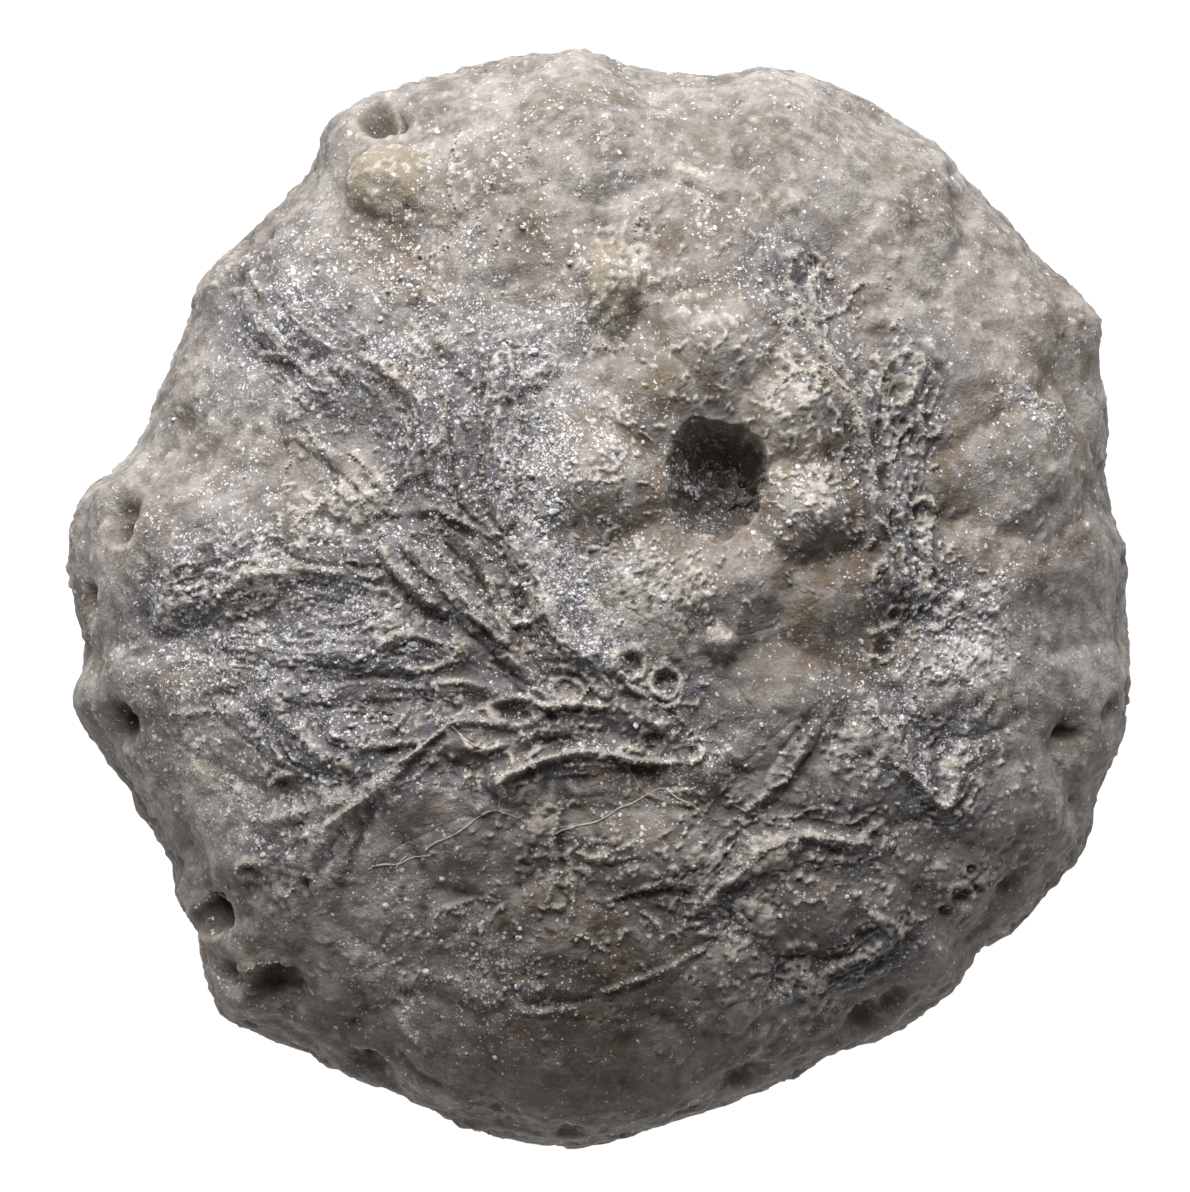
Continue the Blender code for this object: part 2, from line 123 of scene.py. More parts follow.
@dataclass(frozen=True)
class Body:
    """The smooth calyx under all relief: a domed lid over a bowl, on one uneven edge at z = 0."""

    lid_height: float = 11.0
    lid_fullness: float = 2.25
    cup_depth: float = 12.5
    bowl_depth: float = 14.0
    cup_fullness: float = 1.95
    mean_radius: float = 20.6

    def edge_radius(self, angle: Array) -> Array:
        """Radius of the outline at each angle: a smooth closed curve through EDGE.

        Args:
            angle: angles from +X, in radians.

        Returns:
            The radius at each angle.
        """
        degrees, radii = np.array(EDGE, float).T
        before, after = np.roll(degrees, 1), np.roll(degrees, -1)
        before[0] -= 360
        after[-1] += 360
        slopes = (np.roll(radii, -1) - np.roll(radii, 1)) / (after - before)
        turn = np.degrees(angle) % 360
        start = (np.searchsorted(degrees, turn, side="right") - 1) % len(degrees)
        end = (start + 1) % len(degrees)
        span = (after - degrees)[start]
        t = ((turn - degrees[start]) % 360) / span
        return (
            (2 * t**3 - 3 * t**2 + 1) * radii[start]
            + (t**3 - 2 * t**2 + t) * span * slopes[start]
            + (3 * t**2 - 2 * t**3) * radii[end]
            + (t**3 - t**2) * span * slopes[end]
        )

    def lid(self, x: Array, y: Array) -> Array:
        """The smooth lid's points above plan positions."""
        share = np.clip(np.hypot(x, y) / self.edge_radius(np.arctan2(y, x)), 0, 1)
        z = self.lid_height * (1 - share**self.lid_fullness) ** (1 / self.lid_fullness)
        return np.stack([x, y, z], axis=-1)

    def bowl(self, angle: Array, share: Array) -> Array:
        """The smooth bowl's points at angles and shares of the edge radius."""
        radius = share * self.edge_radius(angle)
        z = -self.bowl_depth * (1 - share**self.cup_fullness) ** (1 / self.cup_fullness)
        return np.stack([radius * np.cos(angle), radius * np.sin(angle), z], axis=-1)

    def profile(self, polar: Array) -> tuple[Array, Array]:
        """Share of the edge radius, and height, at polar angles from the top."""
        level = np.cos(polar)
        fullness = np.where(level > 0, self.lid_fullness, self.cup_fullness)
        height = np.where(level > 0, self.lid_height, self.bowl_depth)
        share = np.abs(np.sin(polar)) ** (2 / fullness)
        return share, np.sign(level) * height * np.abs(level) ** (2 / fullness)

    def shell(self, polar: Array, angle: Array) -> Array:
        """Points of the whole body at polar angles from the top and angles from +X."""
        share, z = self.profile(polar)
        radius = share * self.edge_radius(angle)
        return np.stack([radius * np.cos(angle), radius * np.sin(angle), z], axis=-1)

    def even_polar(self, start: float, end: float, count: int) -> Array:
        """Polar angles whose points lie evenly along the body's side.

        Args:
            start: first polar angle, in radians from the top.
            end: last polar angle.
            count: how many steps lie between them.

        Returns:
            The count + 1 polar angles.
        """
        fine = np.linspace(start, end, 600)
        share, z = self.profile(fine)
        steps = np.hypot(np.diff(share * self.mean_radius), np.diff(z))
        along = np.concatenate([[0], np.cumsum(steps)])
        return np.interp(np.linspace(0, along[-1], count + 1), along, fine)

    def fullness_at(self, points: Array) -> Array:
        """1 on the smooth body, less inside it and more outside."""
        x, y, z = points.T
        fullness = np.where(z > 0, self.lid_fullness, self.cup_fullness)
        height = np.where(z > 0, self.lid_height, self.bowl_depth)
        share = np.hypot(x, y) / self.edge_radius(np.arctan2(y, x))
        return share**fullness + (np.abs(z) / height) ** fullness

    def normals(self, points: Array) -> Array:
        """Outward directions of the smooth body at its points."""
        step = 0.02
        slopes = []
        for axis in np.eye(3) * step:
            slopes.append(self.fullness_at(points + axis) - self.fullness_at(points - axis))
        normal = np.stack(slopes, axis=-1)
        return normal / np.linalg.norm(normal, axis=1, keepdims=True)

    def raised(self, points: Array, heights: Array) -> Array:
        """The smooth body's points moved out by heights, and lifted to stand on z = 0."""
        return points + self.normals(points) * heights[:, None] + (0, 0, self.cup_depth)


BODY = Body()
HIDDEN_Z = BODY.cup_depth - 2  # inside the stone, where the sides of the finer meshes meet


def rise(value: Array, low: float, high: float) -> Array:
    """A smooth step from 0 at low to 1 at high; it falls where low is above high."""
    t = np.clip((value - low) / (high - low), 0, 1)
    return t * t * (3 - 2 * t)


def bell(value: Array, width: float) -> Array:
    """1 where the value is nothing, falling away over a width."""
    return np.exp(-((value / width) ** 2))


def noise_at(points: Array, size: float, place: float = Pattern.PLAIN) -> Array:
    """Smooth noise from about -1 to 1, with lumps of a size; another place gives another pattern."""
    return np.array([noise.noise(point) for point in (points / size + float(place)).tolist()])


def plan(steps: Sequence) -> Array:
    """Plan positions, in millimetres, of places on the chart."""
    return (np.array(steps, float) - CHART_AXIS) * (1, -1) / CHART_STEPS


def smooth_line(route: Array, steps: int = 5) -> Array:
    """A Catmull-Rom curve through plan positions, raised to the smooth lid.

    Args:
        route: the plan positions that it goes through.
        steps: pieces that each stretch is cut into.

    Returns:
        The curve's points.
    """
    stops = np.array(route, float)
    stops = np.vstack([stops[:1], stops, stops[-1:]])
    t = np.arange(steps)[:, None] / steps
    pieces = []
    for a, b, c, d in zip(stops, stops[1:], stops[2:], stops[3:]):
        bend = (2 * a - 5 * b + 4 * c - d) * t**2 + (3 * b - a - 3 * c + d) * t**3
        pieces.append(0.5 * (2 * b + (c - a) * t + bend))
    return BODY.lid(*np.vstack([*pieces, stops[-1:]]).T)


def signed_margin(outline: Array, points: Array) -> Array:
    """How far inside a plan outline each point lies; outside it the distance is negative."""
    x, y = points[:, 0], points[:, 1]
    gap, inside = np.full(len(points), np.inf), np.zeros(len(points), bool)
    for (x0, y0), (x1, y1) in zip(outline, np.roll(outline, -1, axis=0)):
        way = np.array([x1 - x0, y1 - y0])
        part = np.clip(((x - x0) * way[0] + (y - y0) * way[1]) / (way @ way), 0, 1)
        gap = np.minimum(gap, np.hypot(x - x0 - part * way[0], y - y0 - part * way[1]))
        crosses = (y0 > y) != (y1 > y)
        inside ^= crosses & (x < x0 + (y - y0) * way[0] / (way[1] or 1e-9))
    return np.where(inside, gap, -gap)


@dataclass
class Ground:
    """Points on the smooth body, and what is worked out at each of them."""

    points: Array
    spacing: float
    grain: tuple = (0.28, 0.9)  # sizes of the noise that makes edges uneven
    wear: float = 1.0  # size of the noise that says where walls are worn away
    height: Array = field(init=False)  # out from the smooth body, along its own normals
    crest: Array = field(init=False)  # of thin walls that stand up
    crevice: Array = field(init=False)  # depth of grooves and pits
    masks: dict = field(init=False)
    ragged: Array = field(init=False)  # noise that makes edges uneven
    worn: Array = field(init=False)  # broader noise, low where walls are worn away

    def __post_init__(self) -> None:
        """Starts the heights and the masks at nothing, and works out the noises."""
        blank = np.zeros(len(self.points))
        self.height, self.crest, self.crevice = blank.copy(), blank.copy(), blank.copy()
        self.masks = {mask: blank.copy() for mask in Mask}
        fine, broad = self.grain
        self.ragged = noise_at(self.points, fine) + 0.6 * noise_at(self.points, broad, Pattern.RAGGED)
        self.worn = noise_at(self.points, self.wear, Pattern.WORN)

    def mark(self, mask: Mask, index: Array, value: Array) -> None:
        """Strengthens a mask at some of the points, where the value is above what is there."""
        self.masks[mask][index] = np.maximum(self.masks[mask][index], value)

    def along(self, line: Array, reach: float) -> tuple[Array, Array, Array]:
        """Measures the points near a line.

        Args:
            line: the line's own points.
            reach: how far from the line a point may be.

        Returns:
            The indices of the points, their distances from the line, and the shares of its length
            at which they lie.
        """
        low, high = line.min(0) - reach, line.max(0) + reach
        index = np.flatnonzero(np.all((self.points > low) & (self.points < high), axis=1))
        near = self.points[index]
        gap, share = np.full(len(near), np.inf), np.zeros(len(near))
        for number, (start, end) in enumerate(zip(line, line[1:])):
            way = end - start
            part = np.clip((near - start) @ way / max(way @ way, 1e-9), 0, 1)
            distance = np.linalg.norm(near - start - part[:, None] * way, axis=1)
            closer = distance < gap
            gap[closer] = distance[closer]
            share[closer] = (number + part[closer]) / (len(line) - 1)
        inside = gap < reach
        return index[inside], gap[inside], share[inside]


class Hill(NamedTuple):
    """A round rise on the lid at a plan position, or a hollow where its height is negative."""

    x: float
    y: float
    radius: float
    height: float

    def press(self, ground: Ground) -> None:
        """Adds the hill to the ground, with brown painted shade in a ring round its foot."""
        gap = np.linalg.norm(ground.points - BODY.lid(self.x, self.y), axis=1) / self.radius
        ground.height += self.height * bell(gap, 1.0)
        # Painted shade: a brown ring round the foot of each rise
        ground.mark(Mask.BROWN, ..., 0.95 * min(max(self.height, 0), 1) * bell(gap - 1.1, 0.32))


class Ridge(NamedTuple):
    """A raised strand of the colony that follows a route of plan positions."""

    width: float
    height: float
    route: tuple


class Wall(NamedTuple):
    """A thin pale wall, on a chart route, that stands up where a tube has worn open."""

    width: float
    height: float
    route: tuple

    def press(self, ground: Ground) -> None:
        """Raises the wall, which is ragged, lower at its ends and worn away in places."""
        index, gap, share = ground.along(smooth_line(plan(self.route)), 4 * self.width)
        ragged = ground.ragged[index]
        ends = rise(share, -0.04, 0.12) * rise(share, 1.04, 0.88)
        whole = 0.4 + 0.6 * rise(ground.worn[index], -0.55, -0.05)
        profile = bell(gap + 0.5 * self.width * ragged, self.width) * (0.4 + 0.6 * ends) * whole
        crest = self.height * profile * (1 + 0.35 * ragged)
        ground.crest[index] = np.maximum(ground.crest[index], crest)
        ground.mark(Mask.PALE, index, profile)


class Groove(NamedTuple):
    """A crevice, on a chart route, beside a wall or between two tubes, with painted shade along it."""

    width: float
    depth: float
    route: tuple

    def press(self, ground: Ground) -> None:
        """Sinks the crevice, with uneven sides, and paints shade along it."""
        index, gap, share = ground.along(smooth_line(plan(self.route)), 4 * self.width)
        ends = rise(share, -0.02, 0.18) * rise(share, 1.02, 0.82)
        profile = bell(gap + 0.4 * self.width * ground.ragged[index], self.width) * ends
        ground.crevice[index] = np.maximum(ground.crevice[index], self.depth * profile)
        # Painted shade along the crevice
        ground.mark(Mask.DARK, index, 0.75 * profile)


class Tube(NamedTuple):
    """One of the colony's tubes that is whole, on a chart route, with a rounded roof."""

    half_width: float
    height: float
    route: tuple

    def press(self, ground: Ground) -> None:
        """Lays the tube over the ground, with painted shade along its foot."""
        index, gap, share = ground.along(smooth_line(plan(self.route)), 2 * self.half_width)
        width = self.half_width * (0.6 + 0.4 * np.sin(np.pi * np.clip(share, 0, 1)) ** 0.6)
        part = gap * (1 + 0.07 * ground.ragged[index]) / width
        roof = self.height * np.sqrt(np.clip(1 - part**2, 0, 1))
        seam = bell(part - 1.15, 0.2)
        ground.height[index] += roof - 0.22 * self.height * seam
        # Painted shade along the tube's foot
        ground.mark(Mask.DARK, index, 0.45 * seam)


class Pit(NamedTuple):
    """An oval pit on the chart, turned in degrees, with a low pale rim; its half sizes are in steps."""

    x: float
    y: float
    half_width: float
    half_length: float
    turn: float
    depth: float
    rim: float

    def press(self, ground: Ground) -> None:
        """Sinks the pit, with painted shade in it, and raises its rim."""
        x, y = plan((self.x, self.y))
        reach = 3 * max(self.half_width, self.half_length) / CHART_STEPS
        index, _, _ = ground.along(np.array([BODY.lid(x, y)] * 2), reach)
        cos, sin = math.cos(math.radians(self.turn)), math.sin(math.radians(self.turn))
        x, y = (ground.points[index, :2] - (x, y)).T * CHART_STEPS
        gap = np.hypot((x * cos + y * sin) / self.half_width, (y * cos - x * sin) / self.half_length)
        gap *= 1 + 0.16 * ground.ragged[index]
        hollow = 1 / (1 + gap**5)
        rim = bell(gap - 1.4, 0.32)
        ground.crevice[index] = np.maximum(ground.crevice[index], self.depth * hollow)
        ground.crest[index] = np.maximum(ground.crest[index], self.rim * rim)
        # Painted shade in the pit
        ground.mark(Mask.DARK, index, hollow)
        ground.mark(Mask.PALE, index, min(1.0, 5 * self.rim) * rim)


class Scab(NamedTuple):
    """A crumb of mineral stuck on the lid: a low block with a chart outline."""

    mask: Mask
    height: float
    outline: tuple

    def press(self, ground: Ground) -> None:
        """Raises the block, with a rough top."""
        outline = plan(self.outline)
        low, high = outline.min(0) - 0.3, outline.max(0) + 0.3
        plan_points = ground.points[:, :2]
        near = np.all((plan_points > low) & (plan_points < high), axis=1) & (ground.points[:, 2] > 0)
        index = np.flatnonzero(near)
        margin = signed_margin(outline, ground.points[index]) + 0.10 * ground.ragged[index]
        block = rise(margin, -0.05, 0.30) * (1 + 0.30 * ground.ragged[index])
        ground.crest[index] = np.maximum(ground.crest[index], self.height * block)
        ground.mark(self.mask, index, rise(margin, -0.04, 0.12))


class Spot(NamedTuple):
    """A patch of the lid, at a place on the chart, where a mask is strong over a radius."""

    x: float
    y: float
    radius: float
    strength: float

    def over(self, points: Array) -> Array:
        """How strong it is at each point."""
        gap = np.linalg.norm(points - BODY.lid(*plan((self.x, self.y))), axis=1)
        return self.strength * bell(gap, self.radius)


def each(kind: type, *rows: tuple) -> tuple:
    """One feature of a kind from each row of its values."""
    return tuple(kind(*row) for row in rows)


# fmt: off
# The plates that stand up round the anal opening
KNOBS = each(
    Hill,
    (0, 4.3, 2, 1.25), (1.9, 0.2, 1.9, 0.7), (5.2, 0.4, 1.7, 0.75), (7.8, 3.1, 1.5, 1.1),
    (7.5, 6.8, 1.6, 1.1), (4.4, 9.3, 1.9, 0.8), (1.9, 7.7, 1.2, 0.5), (9, -0.5, 1.5, 0.5),
)

# Swollen plates, crusted lumps and broad hollows elsewhere on the lid
SWELLS = each(
    Hill,
    (15.9, 4.4, 3, 0.9), (18.3, 10.4, 1.7, 0.8), (8.6, 16, 2.8, 0.5), (0.3, 16, 3.4, 0.5),
    (-13.9, 2.9, 2.8, 0.4), (-13.8, -9, 2.4, 0.5), (-4.6, -9.6, 2.2, 0.45), (1.7, -9.7, 2, 0.5),
    (7.7, -11.4, 2.2, 0.6), (1, -17.2, 3.4, 0.5), (15, -7.6, 1.6, 0.5), (7.3, -4, 1.3, 0.45),
    (-8.3, 15.9, 1.3, 0.8), (0.5, 11.6, 1.2, 0.8), (4.6, -1.8, 0.6, 0.6), (-7.6, 13.7, 1.2, -0.8),
    (-2.4, 6, 1, -0.5), (9.8, -2, 1.3, -0.6), (1.9, -6.7, 1.2, -0.6), (17.6, 8.2, 1.3, -0.15),
    (-9, 5.6, 2, -0.4),
)

# The strands of the tube colony, in plan
RIDGES = each(
    Ridge,
    # Over the left of the lid, towards the anal opening
    (0.55, 0.45, ((-13.6, 12.6), (-13, 11.3), (-12.8, 10.1), (-11.5, 9), (-10.3, 8))),
    (0.6, 0.6, ((-11.5, 10.2), (-9.8, 8.8), (-7.7, 7.8), (-6.8, 6.5), (-6.9, 4.8))),
    (0.5, 0.45, ((-6, 7.6), (-5.7, 6), (-5.5, 4.4), (-4.8, 3.3), (-2.7, 1))),
    (0.75, 0.75, ((-3.8, 8.5), (-4, 6.3), (-3.7, 4.4), (-3.3, 2.5), (-2.1, 0.6), (-1.4, -1.7))),
    (0.6, 0.6, ((-7.7, 1.7), (-6.7, 0.4), (-5, -0.5), (-3.8, -1.4), (-2.6, -2.9))),
    (0.55, 0.5, ((-6.2, 3.3), (-4.6, 2.3), (-3.5, 1.3), (-2.9, -0.2))),
    # In from the left edge
    (0.55, 0.35, ((-16.5, -0.6), (-14.8, 0.2), (-13.5, 0.6), (-11.5, 1), (-8.2, 0.6))),
    (0.55, 0.45, ((-13.8, -1.7), (-11.5, -2.3), (-9.2, -2.1), (-7.7, -1.6), (-5.4, -2.3))),
    (0.7, 0.55, ((-11.9, -3.5), (-11.8, -4.6), (-11, -5.7), (-9.6, -6.2))),
    # The bundle across the middle
    (0.7, 0.8, ((-6.2, -3.4), (-4.4, -3.5), (-2.7, -4), (0.2, -4.2), (2.6, -4.6))),
    (0.6, 0.6, ((-9.8, -5.1), (-7.7, -5.2), (-5.8, -4.9), (-3.8, -4.6), (-1.5, -4.9))),
    (0.65, 0.7, ((-11.5, -10.2), (-10.4, -9), (-9, -7.6), (-6.3, -5.7), (-2.7, -5.4))),
    (0.6, 0.75, ((-3.8, -6.9), (-2.7, -6.3), (-1.2, -6), (0.8, -6), (4, -6.7))),
    (0.65, 0.7, ((-1.5, -1.7), (0, -2.5), (1, -3.2), (2.4, -3.6))),
    # Down the right of the anal opening
    (0.6, 0.65, ((7.1, 12.7), (7.9, 9.4), (9, 8.1), (9.7, 6.3), (9.8, 3.7), (11.3, -0.4))),
    (0.65, 0.65, ((12.1, 8.7), (11.4, 7.1), (10.8, 5.4), (10.5, 3.5), (11.2, 1.3), (12, -0.2))),
    # Short ones at the lower right
    (0.5, 0.5, ((10.1, -4.1), (10.8, -5.1), (11.4, -6.2), (12.9, -7.8), (13.7, -6))),
    (0.6, 0.6, ((3.8, -11.5), (5.2, -10.3), (6.5, -9.4), (7.9, -9.1), (9.6, -9.3))),
    (0.55, 0.5, ((7.9, -14.2), (9.4, -13.7), (11, -12.9))),
)

# Plate centres on the lid; the sutures between plates run halfway from each to the next
LID_PLATES = (
    (0.0, 4.2), (1.9, 0.1), (5.3, 0.6), (7.7, 3.1), (7.5, 6.9), (4.3, 9.3), (2.1, 7.6), (8.8, -0.5),
    (-8.8, 6.3), (-14.0, 2.9), (-12.7, -4.8), (-13.8, -9.0), (-15.4, 8.3), (-10.4, 11.9),
    (-3.1, 11.7), (0.8, 17.9), (-6.9, 16.7), (3.8, 13.7), (8.5, 16.3), (11.7, 14.2), (15.4, 11.7),
    (13.8, 8.5), (15.8, 4.6), (18.7, 10.0), (18.3, -0.2), (18.7, -3.7), (14.8, -0.2), (13.5, -3.3),
    (10.4, -6.7), (7.3, -4.0), (15.0, -7.5), (11.0, -10.6), (7.7, -11.5), (13.3, -11.3),
    (1.5, -9.6), (1.5, -6.5), (-4.6, -9.8), (-5.0, -12.9), (-1.9, -12.9), (1.9, -12.9),
    (4.6, -15.2), (-1.5, -17.7), (3.1, -17.7), (7.7, -15.8), (-6.9, -17.3), (-9.8, -14.2),
    (-12.9, -12.9), (-8.3, -11.9),
)

# The cup's rings of plates, from the base up: how many, their share of the edge radius
CUP_RINGS = ((6, 0.36), (10, 0.60), (15, 0.79), (20, 0.945))

# Where arms joined the edge: (degrees, share of the edge radius, radius, depth)
ARM_OPENINGS = (
    (21, 0.93, 0.75, 0.2), (26, 0.915, 0.8, 0.15), (47, 0.955, 0.7, 0.6), (62, 0.97, 0.6, 0.5),
    (98, 0.97, 0.6, 0.5), (114, 0.945, 0.85, 1.0), (134, 0.965, 0.6, 0.7), (140, 0.93, 0.7, 0.7),
    (157, 0.92, 0.5, 0.4), (171, 0.90, 0.85, 1.1), (181, 0.965, 0.7, 0.8), (195, 0.93, 0.8, 0.9),
    (220, 0.935, 0.75, 1.1), (226, 0.945, 0.6, 0.9), (231, 0.905, 1.0, 1.1), (244, 0.955, 0.8, 1.0),
    (267, 0.96, 0.6, 0.6), (286, 0.955, 0.6, 0.6), (302, 0.94, 0.7, 0.9), (306, 0.94, 0.6, 0.9),
    (325, 0.93, 0.6, 0.6), (343, 0.895, 0.8, 0.8), (347, 0.95, 0.5, 0.5),
)

